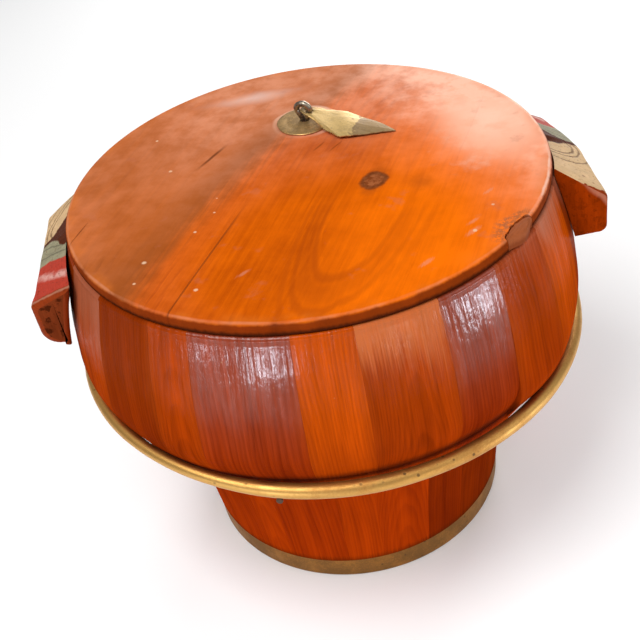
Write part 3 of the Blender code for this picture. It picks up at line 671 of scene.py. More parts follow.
def board_ring(lid, inset, low, high, notch):
    """Plan of one level of a lid board as (across, along) points.

    Arcs of a circle, the lid's edge less the inset, alternate with the straight joints, and the last board
    has the bite of the patch in its arc.
    """
    radius = lid.radius - inset
    top = math.asin(min(high / radius, 1.0))
    bottom = math.asin(max(low / radius, -1.0))

    def arc(start, end, count):
        angle = np.linspace(start, end, count)
        return radius * stacked(np.sin(angle), np.cos(angle))[:-1]

    def straight(across, start, end):
        return stacked(across, np.linspace(start, end, 60))[:-1]

    runs = []
    if notch:
        middle = math.pi / 2 - (lid.patch_azimuth - (lid.grain - math.pi / 2))
        bite = patch_inner(lid, 0.0, inset)
        spread = math.atan2(bite[-1, 1], bite[-1, 0])
        out = np.array([math.sin(middle), math.cos(middle)])
        sideways = np.array([math.cos(middle), -math.sin(middle)])
        runs.append(arc(bottom, middle - spread, 90))
        runs.append((bite[:, :1] * out + bite[:, 1:] * sideways)[:-1])
        runs.append(arc(middle + spread, math.pi - bottom, 70))
    else:
        runs.append(arc(bottom, top, 70))
        runs.append(straight(high, radius * math.cos(top), -radius * math.cos(top)))
        runs.append(arc(math.pi - top, math.pi - bottom, 70))
    if low > -lid.radius:
        runs.append(straight(low, -radius * math.cos(bottom), radius * math.cos(bottom)))
    return np.concatenate(runs)


def board_points(lid, low, high, gap, notch):
    """Grid of a lid board: one ring of its plan for each step of the edge section.

    The section runs from the underside over a small lower rounding, up the side and over a quarter circle
    to the top; the joints stay upright and are drawn in only on the underside and the top.
    """
    quarter = np.linspace(0.0, math.pi / 2, 8)
    rounding = lid.ease * (1 - np.cos(quarter))
    inset = np.concatenate([[0.0030, 0.0012, 0.0004, 0.0], rounding, [lid.ease + 0.0008]])
    drawn = np.concatenate([[0.0008, 0.0003, 0.0001], np.zeros(9), [0.0003]]) + gap / 2
    rise = lid.thick + lid.ease * (np.sin(quarter) - 1)
    level = np.concatenate([[0.0, 0.0, 0.0003, 0.0010], rise, [lid.thick]])
    rings = []
    for step, narrow in zip(inset, drawn):
        low_edge = low + narrow if low > -lid.radius else low
        high_edge = high - narrow if high < lid.radius else high
        rings.append(board_ring(lid, step, low_edge, high_edge, notch))
    plan = np.stack(rings)
    x, y = turned(plan[..., 0], plan[..., 1], math.pi / 2 - lid.grain)
    return stacked(x, y, lid.seat + level[:, None])


def lid_finish(lid, name, looped):
    """Worn orange lacquer on a lid board: browner on the left, with painted sheen at the back and the right.

    The grain is a saw of the distance across the boards.  Where it is looped it is a saw of the distance from
    a place before the knot, which counts a fifth along the grain and less on the right than on the left, and
    four of its loops are drawn darker.
    """
    paint = Finish(name)
    mix, lay, noise = paint.mix, paint.lay, paint.noise
    ridge, smooth, away = paint.ridge, paint.smooth, paint.away
    x, y, z = paint.place()
    along = x * math.cos(lid.grain) + y * math.sin(lid.grain)
    across = x * math.sin(lid.grain) - y * math.cos(lid.grain)
    grain = paint.figure(across, along)
    blot = paint.figure(x, y)
    sway = grain(0.02, 0.006, 5.0, 2.0) - 0.5
    lean = grain(0.10, 0.02, 10.0, 3.0) - 0.5
    knot_across, knot_back = 44.0, 7.0
    knot_side = across - knot_across
    knot_run = along + knot_back
    if looped:
        flared = knot_side.math("MINIMUM", 0.0) * 0.85 + knot_side.math("MAXIMUM", 0.0) * 0.55
        spread = away(flared, (along + 30.0) / 5.0)
        rings = (spread + sway * 9.0 + lean * 4.0) / 4.3
        loop = spread + sway * 3.0 + lean * 2.5
        figure = ridge(loop, 14.0, 1.3) + ridge(loop, 16.6, 3.2) * 0.8
        figure = figure + ridge(loop, 19.4, 1.2) + ridge(loop, 22.6, 1.6) * 0.7
        figure = figure * smooth(along, -5.0, -45.0) * (1.0 - smooth(knot_side, 0.0, 34.0) * 0.55)
    else:
        figure = 0.0
        rings = (across + sway * 26.0 + lean * 12.0) / 7.5
    saw = rings.math("FRACT")
    line = smooth(saw, 0.35, 0.84) - smooth(saw, 0.86, 1.0)
    strong = smooth(grain(0.025, 0.014, 14.0, 3.0), 0.46, 0.70)
    streak = grain(0.30, 0.010, 17.0, 4.0, 0.6)
    hair = grain(2.4, 0.05, 19.0, 2.0)
    cloud = blot(0.014, 0.014, 5.0, 3.0)
    mottle = blot(0.06, 0.06, 17.0, 4.0, 0.6)
    lightness = 0.30 + smooth(across, 18.0, 78.0) * 0.53 - line * (strong * 0.20 + 0.01)
    lightness = lightness + streak.swing(0.75) + cloud.swing(0.7)
    lightness = lightness + hair.swing(0.2) + mottle.swing(0.65)
    paint.colour = mix(lightness, lid.dark, lid.bright)
    lay(figure * 0.55, (0.40, 0.062, 0.003))
    # Browner lacquer on the left
    change = across + 33.5 - along * 0.22 - along**2.0 * 0.0008
    change = change + streak.swing(18.0) + mottle.swing(16.0)
    leftness = smooth(change, 9.0, -12.0)
    front = smooth(y, -20.0, -110.0) * 0.32
    brown = mix(lightness + 0.22 - front, scaled(lid.brown, 0.72), scaled(lid.brown, 1.22))
    lay(leftness * 0.9, brown)
    lay(leftness * front * 0.9, scaled(lid.brown, 0.55))
    band = smooth(change, -34.0, -6.0) * leftness * (0.22 + smooth(along, -90.0, 30.0) * 0.36)
    lay(band, scaled(lid.brown, 0.40))
    # Painted sheen at the back and the right, a painted reflection patch on the right and a painted highlight
    # at the back left
    far = smooth(away(x - 10.0, y + 90.0) + cloud.swing(40.0), 60.0, 200.0)
    back_sheen = far * (1.0 - smooth(x, -40.0, -110.0) * 0.6)
    right = smooth(x + y * 0.2 + cloud.swing(40.0), 55.0, 125.0)
    back_and_right_sheen = (back_sheen * 0.40 + right * far * 0.80) * (0.50 + smooth(mottle, 0.30, 0.70) * 0.60)
    lay(back_and_right_sheen, (0.92, 0.455, 0.300))
    pale_sheen = away(x - 110.0, (y - 14.0) * 0.7) + mottle.swing(60.0)
    lay(smooth(pale_sheen, 36.0, 8.0) * 0.5, (0.95, 0.600, 0.440))
    gleam = away((x + 27.0) / 36.0, (y - 107.0) / 10.0) + cloud.swing(1.6)
    lay(smooth(gleam + mottle.swing(1.2), 1.3, 0.0) * 0.5, (0.84, 0.66, 0.60))
    # Scuffs, the dust ring round the fitting and two cuts beside it
    scuffs = 0.0
    for scuff_x, scuff_y, size in LID_SCUFFS:
        scuff_run = (x - scuff_x) * 0.80 + (y - scuff_y) * 0.60
        scuff_side = (y - scuff_y) * 0.80 - (x - scuff_x) * 0.60
        spread = away(scuff_run * 0.30, scuff_side) + hair.swing(3.0)
        scuffs = smooth(spread, size, size * 0.3) + scuffs
    lay(scuffs * 0.32, (0.66, 0.330, 0.220))
    fitting_x, fitting_y = 6.0, 60.5
    fitting = away(x - fitting_x, y - fitting_y) + mottle.swing(5.0)
    dust = ridge(fitting, 19.0, 2.8) * smooth(cloud, 0.35, 0.55)
    lay(dust * 0.6, (0.86, 0.56, 0.40))
    cut_run = x * 0.66 + y * 0.75
    cut_side = x * 0.75 - y * 0.66 + lean * 2.0
    cuts = ridge(cut_side, -9.0, 0.9) * ridge(cut_run, 27.0, 8.0)
    cuts = cuts + ridge(cut_side, 0.6, 0.8) * ridge(cut_run, 31.0, 8.5)
    lay(cuts * 0.75, (0.24, 0.050, 0.010))
    # Frayed lacquer round the patch
    patch_out, patch_side = turned(x, y, lid.patch_azimuth)
    patch_side = patch_side.math("ABSOLUTE")
    frayed = smooth(patch_out - patch_side * 0.35 + mottle.swing(14.0), 126.0, 131.0)
    grit = blot(0.35, 0.35, 23.0, 3.0, 0.6)
    frayed = frayed * smooth(patch_side + hair.swing(8.0), 19.0, 12.0) * smooth(grit, 0.40, 0.56)
    lay(frayed * 0.7, mix(hair, (0.13, 0.042, 0.016), (0.45, 0.170, 0.080)))
    # Knot, and a stain beside it
    from_knot = away(knot_side, knot_run * 0.80) + mottle.swing(7.0)
    knot = smooth(from_knot, 8.2, 5.6)
    smudge = smooth(away(knot_side, knot_run * 0.45) + mottle.swing(8.0), 9.0, 4.0)
    stain = smooth(away(across - 72.0, along + 6.0) + mottle * 10.0, 16.0, 6.0)
    lay(stain * 0.40, (0.34, 0.060, 0.006))
    lay(smudge * 0.40, (0.26, 0.050, 0.008))
    lay(knot * 0.80, mix(smooth(grit, 0.35, 0.65), (0.11, 0.030, 0.010), (0.30, 0.105, 0.040)))
    lay(ridge(from_knot, 6.2, 2.6) * 0.55, (0.11, 0.028, 0.008))
    # Dark streak on the left, and open places in the joints
    slant = across + 66.5 - along * 0.24
    streak_mark = ridge(slant + lean * 2.0, 0.0, 1.7) * ridge(along, 11.5, 19.0)
    lay(streak_mark * 0.8, (0.12, 0.030, 0.010))
    tilted = across - (along + 136.0) * 0.03
    crack = ridge(tilted + streak.swing(1.6), lid.joint_middle * 1000.0, 0.9)
    crack = crack * smooth(along, -30.0, -70.0)
    side_crack = ridge(across, lid.joint_left * 1000.0, 0.7) * ridge(along, -76.0, 16.0)
    lay((crack + side_crack) * 0.6, (0.13, 0.030, 0.008))
    # Worn rim, a pale edge that is wear all round and painted highlight on the right, dark side and darker
    # lower edge
    reach = away(x, y)
    worn = smooth(reach + mottle.swing(12.0), 132.0, 140.0)
    rub = smooth(noise(x * 0.05, y * 0.05, z * 0.3 + 4.0, 3.0), 0.40, 0.60)
    lay(worn * rub * 0.4, (0.62, 0.150, 0.016))
    # Pale edge: wear all round, with a painted highlight on the right
    rim_wear_and_highlight = ridge(reach + mottle.swing(2.0), 139.6, 1.1) * (0.12 + smooth(x, 96.0, 130.0) * 0.65)
    lay(rim_wear_and_highlight * (0.3 + rub * 0.7), (0.92, 0.58, 0.44))
    side = smooth(z + grit.swing(1.0) + mottle.swing(2.0), 244.1, 242.6)
    lay(side * 0.92, mix(mottle, (0.085, 0.011, 0.002), (0.27, 0.034, 0.004)))
    # Darker at the bottom of the side
    lay(smooth(z + grit.swing(2.5), 240.2, 237.6) * 0.9, (0.04, 0.008, 0.003))
    # Specks and bruises
    dots = 0.0
    for spot_x, spot_y, size in LID_SPECKS:
        spread = away(x - spot_x, y - spot_y) + hair.swing(1.2)
        dots = smooth(spread, size, size * 0.4) + dots
    lay(dots * 0.7, (0.80, 0.56, 0.36))
    bruise = smooth(blot(0.05, 0.05, 61.0, 4.0, 0.6), 0.60, 0.70)
    lay(bruise * 0.22, (0.46, 0.150, 0.085))
    height = streak * 0.4 - line * strong * 0.2 - crack * 1.0 - side_crack * 0.8 - knot * 0.4 + mottle * 0.6
    return paint.done(
        Roughness=0.40 + streak * 0.10 + bruise * 0.15 + rub * 0.06,
        Specular_IOR_Level=0.0,
        Coat_Weight=smooth(back_and_right_sheen, 0.15, 0.8) * 0.22,
        Coat_Roughness=0.28,
        Normal=paint.bump(height, 0.00055, 0.6),
    )


class BUCKET_OT_lid_boards(bpy.types.Operator):
    """Build the four boards of the lid"""

    bl_idname = "bucket.lid_boards"
    bl_label = "Lid boards"

    def execute(self, context):
        lid = context.scene.bucket_lid
        joints = (-lid.radius, lid.joint_left, lid.joint_middle, lid.joint_right, lid.radius)
        joint_gap = 0.00004
        for number in range(1, 5):
            node = f"lid_board_{number}"
            points = board_points(lid, joints[number - 1], joints[number], joint_gap, number == 4)
            finish = lid_finish(lid, f"{node}_lacquer", number > 2)
            dress(node, "lid", points, [finish], 50.0)
        return {"FINISHED"}


def patch_points(lid):
    """Grid of the rim patch: rings of one plan, bulging past the rim by a cosine and drawn in at the top."""
    gap = 0.00025
    set_in, bulge = 0.0004, 0.0030
    inner = patch_inner(lid, gap)
    reach = math.asin((lid.patch_wide / 2 - gap) / lid.radius)
    angle = np.linspace(reach, -reach, 30)[1:-1]
    outer = lid.radius - set_in + bulge * np.cos(angle / reach * math.pi / 2) ** 1.5
    plan = np.concatenate([inner, stacked(outer * np.cos(angle), outer * np.sin(angle))])
    centre = plan.mean(axis=0)
    shrink = np.array([0.60, 0.97, 0.99, 1.0, 0.985, 0.94, 0.86, 0.60])
    level = np.array([0.0004, 0.0004, 0.0010, 0.0045, 0.0060, 0.0070, 0.0075, 0.0078])
    rings = centre + (plan - centre)[None] * shrink[:, None, None]
    x, y = turned(rings[..., 0], rings[..., 1], -lid.patch_azimuth)
    return stacked(x, y, lid.seat + level[:, None])


class BUCKET_OT_lid_patch(bpy.types.Operator):
    """Build the repair patch in the lid's rim"""

    bl_idname = "bucket.lid_patch"
    bl_label = "Lid patch"

    def execute(self, context):
        lid = context.scene.bucket_lid
        paint = Finish("lid_patch_wood")
        x, y, z = paint.place()
        out, side = turned(x, y, lid.patch_azimuth)
        grain = paint.noise(out * 1.1, side * 0.10, 3.0, 4.0, 0.6)
        worn = paint.smooth(out + grain.swing(6.0), 138.0, 143.0)
        paint.colour = paint.mix(grain, (0.16, 0.038, 0.011), (0.45, 0.118, 0.036))
        paint.lay(worn * 0.5, (0.36, 0.095, 0.032))
        paint.lay(paint.smooth(z + grain.swing(2.0), 242.0, 238.5) * 0.8, (0.20, 0.038, 0.008))
        finish = paint.done(
            Roughness=0.40 + grain * 0.25,
            Specular_IOR_Level=0.02,
            Normal=paint.bump(grain, 0.0006, 0.7),
        )
        dress("lid_patch", "lid", patch_points(lid), [finish], 35.0)
        return {"FINISHED"}


def plain_wood(name, dark, light, axis):
    """Dull stained wood of the inner pieces, with its grain along one axis in plan."""
    paint = Finish(name)
    x, y, z = paint.place()
    along, across = turned(x, y, axis)
    sway = paint.noise(across * 0.03, along * 0.01, z * 0.02, 2.0) - 0.5
    line = paint.smooth(((across + z * 0.6 + sway * 18.0) / 4.5).math("FRACT"), 0.2, 0.95)
    streak = paint.noise(across * 1.1, along * 0.02, z * 0.8, 3.0, 0.6)
    paint.colour = paint.mix(0.2 + line * 0.35 + (streak - 0.5), light, dark)
    return paint.done(
        Roughness=0.55 + streak * 0.2,
        Specular_IOR_Level=0.3,
        Normal=paint.bump(streak, 0.0005, 0.5),
    )


class BUCKET_OT_inner_pieces(bpy.types.Operator):
    """Finish the bottom boards, the lid's battens and the handle pegs"""

    bl_idname = "bucket.inner_pieces"
    bl_label = "Inner pieces"

    def execute(self, context):
        lid = context.scene.bucket_lid
        cross_grain = lid.grain - math.pi / 2
        woods = {
            "bottom_board": ("bottom_wood", (0.09, 0.030, 0.010), (0.24, 0.095, 0.035), math.pi / 2),
            "lid_batten": ("batten_wood", (0.12, 0.040, 0.012), (0.30, 0.120, 0.045), cross_grain),
            "handle_peg": ("peg_wood", (0.16, 0.080, 0.030), (0.36, 0.210, 0.090), 0.0),
        }
        for start, looks in woods.items():
            wood = plain_wood(*looks)
            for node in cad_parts:
                if node.startswith(start):
                    dress_node(node, wood)
        return {"FINISHED"}


def brass_finish(name, bright, tarnish, share, pitch, rough):
    """Old brass: rubbed bright patches in tarnish, dark pits, fine scratches and shallow dents."""
    paint = Finish(name)
    x, y, z = paint.place()
    cloud = paint.noise(x / pitch, y / pitch, z / pitch, 4.0, 0.6)
    fine = paint.noise(x * 0.9, y * 0.9, z * 0.9, 3.0, 0.6)
    film = paint.smooth(cloud + fine.swing(0.35), share + 0.16, share - 0.16)
    paint.colour = paint.mix(film, bright, tarnish)
    spots = paint.smooth(paint.specks(x * 0.16, y * 0.16, z * 0.16), 0.20, 0.09)
    few = paint.smooth(paint.noise(x * 0.03, y * 0.03, z * 0.03, 2.0), 0.46, 0.60)
    paint.lay(spots * few * 0.85, scaled(tarnish, 0.25))
    gleam = paint.smooth(fine, 0.52, 0.72)
    paint.lay(gleam * 0.25, scaled(bright, 1.15))
    return paint.done(
        Metallic=1.0 - film * 0.25 - spots * few * 0.4,
        Roughness=rough + film * 0.16 + fine.swing(0.2) + spots * few * 0.2,
        Normal=paint.bump(fine * 0.5 + cloud * 0.6 - spots * few * 0.5, 0.0003, 0.6),
    )


def ring_points(radius, height, section, count):
    """Grid of a level ring: a closed section of (out, up) offsets turned about Z."""
    angle = np.linspace(0.0, 2 * math.pi, count, endpoint=False)[:, None]
    out = radius + section[None, :, 0]
    return stacked(out * np.cos(angle), out * np.sin(angle), height + section[None, :, 1])


def hoop_points(body, brass):
    """Grid of the hoop: a round rod on a circle in a tipped plane.

    Its thickness varies by two sine waves, and a bell curve of the bearing makes it slim at the left front.
    """
    clearance = 0.0005
    slim_share, slim_bearing, slim_spread = 0.18, 3.93, 0.45
    fall_right = brass.drop_right / body.shoulder_radius
    fall_front = brass.drop_front / body.shoulder_radius
    fall = math.hypot(fall_right, fall_front)
    high = brass.hoop_height + fall * (body.shoulder_radius + brass.rod)
    radius = (float(wall_radius(body, high)) + brass.rod / 2 + clearance) / math.cos(math.atan(fall))
    around = np.linspace(0.0, 2 * math.pi, 260, endpoint=False)[:, None]
    side = np.linspace(0.0, 2 * math.pi, 24, endpoint=False)[None]
    slim = slim_share * bell(around, slim_bearing, slim_spread)
    full = 1.0 - slim + 0.018 * np.sin(around * 7 + 1.0) + 0.012 * np.sin(around * 17 + 2.0)
    thick = brass.rod / 2 * full
    out = radius - slim * brass.rod / 2 + thick * np.cos(side)
    up = thick * np.sin(side) + 0.0002 * np.sin(around * 5)
    level = stacked(out * np.cos(around), out * np.sin(around), up)
    axis = Vector((fall_right, -fall_front, 1.0)).normalized()
    lean = Vector((0.0, 0.0, 1.0)).rotation_difference(axis)
    points = level @ np.array(lean.to_matrix()).T
    return points + np.array([0.0, 0.0, brass.hoop_height])


class BUCKET_OT_hoop(bpy.types.Operator):
    """Build the brass rod hoop and finish the nails that carry it"""

    bl_idname = "bucket.hoop"
    bl_label = "Hoop and nails"

    def execute(self, context):
        body = context.scene.bucket_body
        brass = context.scene.bucket_brass
        finish = brass_finish("hoop_brass", brass.bright, scaled(brass.tarnish, 1.3), 0.42, 26.0, 0.44)
        dress("hoop", "tub", hoop_points(body, brass), [finish], 80.0, wrap=True)
        paint = Finish("nail_iron")
        x, y, z = paint.place()
        rust = paint.noise(x * 0.8, y * 0.8, z * 0.8, 4.0, 0.6)
        paint.colour = paint.mix(rust, (0.02, 0.014, 0.010), (0.14, 0.060, 0.025))
        iron = paint.done(
            Metallic=0.3 - rust * 0.2,
            Roughness=0.6 + rust * 0.3,
            Normal=paint.bump(rust, 0.0003, 0.6),
        )
        for number in range(1, 5):
            dress_node(f"hoop_nail_{number}", iron)
        return {"FINISHED"}


class BUCKET_OT_foot_band(bpy.types.Operator):
    """Build the flat brass band round the foot"""

    bl_idname = "bucket.foot_band"
    bl_label = "Foot band"

    def execute(self, context):
        body = context.scene.bucket_body
        brass = context.scene.bucket_brass
        tall = brass.band_tall
        thick, ease, crown = 0.0015, 0.0005, 0.0002
        set_in, lift = 0.0012, 0.0006
        # The section has quarter circles at its corners, a face that bulges by a half sine and a flat back
        corner = np.linspace(0.0, math.pi / 2, 5)
        outer = stacked(thick - ease * (1 - np.cos(corner)), tall - ease * (1 - np.sin(corner)))
        lower = stacked(outer[::-1, 0], tall - outer[::-1, 1])
        bulge = thick + crown * np.sin(np.linspace(0, math.pi, 7))
        middle = stacked(bulge, np.linspace(0.0012, 0.0138, 7))
        inner = np.array([[0.0, tall], [0.0, 0.0]])
        section = np.concatenate([lower, middle, outer, inner])
        points = ring_points(body.foot_radius - set_in, lift, section, 220)
        tones = (scaled(brass.tarnish, 1.08), scaled(brass.tarnish, 0.62))
        finish = brass_finish("foot_brass", *tones, 0.54, 22.0, 0.46)
        dress("foot_band", "tub", points, [finish], 60.0, wrap=True)
        return {"FINISHED"}


def handle_points(body, handle, start, out, taper):
    """Grid of a handle on +X: a bar with a flat face and a sloping top, closed along the belly behind it.

    The section goes along the underside, which falls to the wall, over a quarter circle, up the face, over a
    curved brow and up the slope to the wall.  Towards the round end the face falls back and the back leaves
    the wall by powers of the way past the middle, and the end swells into a boss whose edge is a quarter
    circle.  The plain end leans back at the wall, and a half sine sinks the slope in the notch.
    """
    first_end = -0.0465
    boss_back, boss_run, boss_drop = 0.014, 0.010, 0.003
    gap, end_ease, soft = 0.0003, 0.0008, 0.0022
    end = first_end + handle.length
    bend = end - handle.round_end
    tip = bend + handle.round_end * np.sin(np.linspace(0.0, math.pi / 2, 14))
    along = np.concatenate([np.linspace(start, bend, 90)[:-1], tip])[:, None]
    share = (along - first_end) / handle.length
    far = np.clip(2.0 * share - 1.0, 0.0, 1.0)
    past = np.clip((along - bend) / (end - bend), 0.0, 1.0)
    inset = handle.round_end * (1.0 - np.sqrt(1.0 - past**2))
    boss = np.clip((along - end + boss_back) / boss_run, 0.0, 1.0)
    boss = boss**2 * (3.0 - 2.0 * boss)
    clear = gap + handle.stand_off * far**1.5 + inset
    first = end_ease * np.exp(-(along - start) / end_ease)
    face = out - taper * far**1.6 + boss * handle.bulge - inset - first
    brow = handle.brow - inset * 0.6 - first
    foot = handle.foot - boss * boss_drop + inset * 0.6 + first
    into_notch = np.clip((along - handle.notch_start) / handle.notch, 0.0, 1.0)
    head = brow + handle.rise_plain + (handle.rise_round - handle.rise_plain) * share
    head = head - handle.notch_depth * np.sin(math.pi * into_notch)
    inner = along + handle.skew * np.clip(1.0 - (along - start) / (4 * handle.skew), 0.0, None)

    def wall(height):
        radius = wall_radius(body, np.minimum(height, body.rim_height)) + clear
        return np.sqrt(radius**2 - inner**2)

    corner = wall(head)
    lean = (head - brow) / (face - corner)
    quarter = np.linspace(0.0, math.pi / 2, 9)[None]
    under = np.linspace(0.0, 1.0, 8)[None, :-1]
    curve = np.linspace(0.0, 1.0, 9)[None]
    slope = np.linspace(0.0, 1.0, 22)[None, 1:]
    ease = handle.ease * (1.0 + boss)
    low = foot - handle.fall
    wave = 0.00035 * np.sin(along * 210.0) * np.sin(along * 77.0 + 1.0)
    top_x = face - soft - (face - soft - corner) * slope
    top_z = brow + lean * soft + (head - brow - lean * soft) * slope + wave * np.sin(math.pi * slope)
    x = np.concatenate(
        [
            wall(low) + (face - ease - wall(low)) * under,
            face - ease + ease * np.sin(quarter),
            face - soft * curve**2 + wave * (1 - curve),
            top_x,
        ],
        axis=1,
    )
    z = np.concatenate(
        [
            low + (foot - low) * under,
            foot + ease - ease * np.cos(quarter),
            brow - soft + soft * (2 * curve * (1 - curve) + curve**2) + lean * soft * curve**2,
            top_z,
        ],
        axis=1,
    )
    back_z = head + (low - head) * np.linspace(0.0, 1.0, 14)[None, 1:-1]
    back_x = wall(back_z)
    lag = np.clip((face - x) / (face - corner), 0.0, 1.0)
    y = np.concatenate([along + (inner - along) * lag, np.broadcast_to(inner, back_x.shape)], axis=1)
    points = stacked(np.concatenate([x, back_x], axis=1), y, np.concatenate([z, back_z], axis=1))
    lower_edge = np.linspace(-28.0, -20.0, 9)
    upper_edge = np.linspace(-6.0, 0.0, 9)
    place = np.concatenate([[-30.0] * 7, lower_edge, upper_edge, 20.0 * slope[0], [-40.0] * 12])
    flow = stacked(y, place / 1000.0)
    return points, flow


def carved_finish(handle, name, offset, start):
    """Old paint on a carved handle: pale, green and red fields, dark lines in the cuts, painted shade in the
    notch and bare wood.

    The flow map gives the place along the handle and, round it, -30 on the underside, 0 at the brow and 20
    at the wall.  The offset shifts the fields along the handle, and the start is its plain end.
    """
    paint = Finish(name)
    mix, lay, ridge, smooth = paint.mix, paint.lay, paint.ridge, paint.smooth
    along, level, _ = paint.flow()
    blot = paint.figure(along, level, offset)
    grain = blot(0.22, 0.9, 0.0, 4.0, 0.6)
    ragged = blot(0.40, 0.35, 9.0, 4.0, 0.6) - 0.5
    mottle = blot(0.12, 0.12, 15.0, 4.0, 0.6)
    place = along - offset + ragged * 4.0
    up = smooth(level, 4.0, 20.0)
    wood = mix(grain, scaled(handle.brown, 0.55), scaled(handle.brown, 1.35))
    cream = mix(mottle, scaled(handle.cream, 0.62), scaled(handle.cream, 1.15))
    fan = paint.away(along - offset + 6.0, level - 19.0) + ragged * 2.5
    cut = ridge(fan, 15.0, 1.0) + ridge(fan, 18.5, 0.9) + ridge(fan, 25.0, 0.9)
    dabs = smooth(blot(0.5, 0.5, 2.0, 3.0), 0.62, 0.70)
    cream = mix(cut * 0.8 + dabs * 0.5, cream, (0.20, 0.11, 0.05))
    green = mix(mottle, scaled(handle.green, 0.60), scaled(handle.green, 1.45))
    vein = ridge(((along * 0.8 - level * 0.35 + ragged * 2.0 + 100.0) / 7.0).math("FRACT"), 0.5, 0.12)
    green = mix(vein * 0.5, green, (0.05, 0.045, 0.03))
    red = mix(grain, scaled(handle.red, 0.70), scaled(handle.red, 1.15))
    pale_line = ridge(place - level * 0.5, 36.0, 5.0) * smooth(mottle, 0.35, 0.6)
    red = mix(pale_line * 0.75, red, (0.72, 0.42, 0.36))
    # Painted shade: the near-black notch colour fills the carved notch between the pale and green fields
    notch = (0.085, 0.020, 0.008)
    paint.colour = mix(smooth(place + up * 9.0, 0.0, 1.2), cream, notch)
    lay(smooth(place - up * 13.0, 3.4, 4.6), green)
    lay(smooth(place - up * 6.0, 24.4, 25.6), red)
    lay(smooth(along + ragged * 4.0, 50.0, 51.6), wood)
    lay(ridge(along + ragged * 2.0, 52.2, 1.4) * 0.5, (0.55, 0.27, 0.17))
    end = smooth(along + ragged * 6.0 - up * 2.0, start * 1000.0 + 3.2, start * 1000.0 + 2.2)
    lay(end, wood)
    under = smooth(level + ragged * 6.0, -9.0, -18.0)
    lay(under, wood)
    flaked = smooth(blot(0.5, 0.5, 21.0, 4.0, 0.65), 0.60, 0.66)
    lay(flaked * 0.65, scaled(handle.brown, 0.8))
    height = grain * 0.5 - cut * 0.7 - vein * 0.3 - flaked * 0.4
    return paint.done(
        Roughness=0.5 + grain * 0.2,
        Specular_IOR_Level=0.08,
        Normal=paint.bump(height, 0.0008, 0.7),
    )


def end_finish(name, tone, spots):
    """Lacquered end grain of a handle: upright streaks, short dark pores and a share of dark spots."""
    paint = Finish(name)
    x, y, z = paint.place()
    cloud = paint.noise(x * 0.10, y * 0.10, z * 0.05, 3.0)
    streak = paint.noise(x * 0.60, y * 0.60, z * 0.05, 3.0)
    pores = paint.smooth(paint.noise(x * 0.9, y * 0.9, z * 0.5, 3.0), 0.58, 0.72)
    dabs = paint.smooth(paint.noise(x * 0.24, y * 0.24, z * 0.24, 3.0), 0.53, 0.62)
    lightness = 0.5 + cloud.swing(1.4) + streak.swing(0.9)
    paint.colour = paint.mix(lightness, scaled(tone, 0.62), scaled(tone, 1.35))
    paint.lay(dabs * spots, scaled(tone, 0.28))
    paint.lay(pores * 0.4, scaled(tone, 0.4))
    corner = paint.smooth(x.math("ABSOLUTE") + (z - 219.0) * 0.8 + cloud.swing(8.0), 159.5, 163.0)
    paint.lay(corner * 0.5, (0.60, 0.26, 0.16))
    return paint.done(
        Roughness=0.45 + pores * 0.2,
        Specular_IOR_Level=0.0,
        Normal=paint.bump(cloud - pores * 0.4 - dabs * spots * 0.6, 0.0006, 0.6),
    )


class BUCKET_OT_handles(bpy.types.Operator):
    """Build the two carved and painted handles"""

    bl_idname = "bucket.handles"
    bl_label = "Handles"

    def execute(self, context):
        body = context.scene.bucket_body
        handle = context.scene.bucket_handle
        right = (handle.start_right, handle.face_right, handle.taper_right)
        left = (handle.start_left, handle.face_left, handle.taper_left)
        orange = (0.27, 0.030, 0.0010)
        russet = (0.175, 0.031, 0.008)
        choices = (("right", 1.0, 10.0, right, orange, 0.25), ("left", -1.0, -6.0, left, russet, 0.85))
        for side, way, offset, sizes, tone, spots in choices:
            node = f"handle_{side}"
            points, flow = handle_points(body, handle, *sizes)
            carved = carved_finish(handle, f"carved_paint_{side}", offset, sizes[0])
            ends = end_finish(f"handle_end_{side}", tone, spots)
            placed = points * np.array([way, way, 1.0])
            dress(node, "tub", placed, [carved, ends], 42.0, flow=flow, cap_finish=1)
        return {"FINISHED"}


def fitting_origin(lid, brass):
    """Place on the lid's top where the eye pin goes through."""
    return np.array([brass.fitting_x, brass.fitting_y, lid.seat + lid.thick])


class BUCKET_OT_rosette(bpy.types.Operator):
    """Build the domed plate under the eye"""

    bl_idname = "bucket.rosette"
    bl_label = "Rosette"

    def execute(self, context):
        lid = context.scene.bucket_lid
        brass = context.scene.bucket_brass
        # A section in millimetres is turned about Z, and two sine waves of the bearing stretch its outer half
        out = np.array([3.0, 3.0, 4.6, 8.5, 10.4, 11.4, 12.4, 15.2, 17.0, 17.7, 17.8, 17.6, 10.0]) / 1000
        up = np.array([0.3, 1.7, 1.9, 1.75, 1.6, 1.35, 1.5, 1.25, 1.15, 0.95, 0.6, 0.3, 0.3]) / 1000
        section = stacked(out, up)
        points = ring_points(0.0, 0.0, section, 120)
        angle = np.arctan2(points[..., 1], points[..., 0])
        swing = 1.0 + 0.010 * np.sin(angle * 3 + 0.6) + 0.006 * np.sin(angle * 7)
        far = np.clip((np.hypot(points[..., 0], points[..., 1]) - 0.009) / 0.009, 0, 1)[..., None]
        stretch = 1 + (swing[..., None] - 1) * far
        points = points * np.concatenate([stretch, stretch, np.ones_like(far)], axis=-1)
        tones = (scaled(brass.olive, 1.9), scaled(brass.olive, 0.95))
        finish = brass_finish("rosette_brass", *tones, 0.50, 9.0, 0.44)
        dress("rosette", "lid", points + fitting_origin(lid, brass), [finish], 60.0, wrap=True)
        return {"FINISHED"}


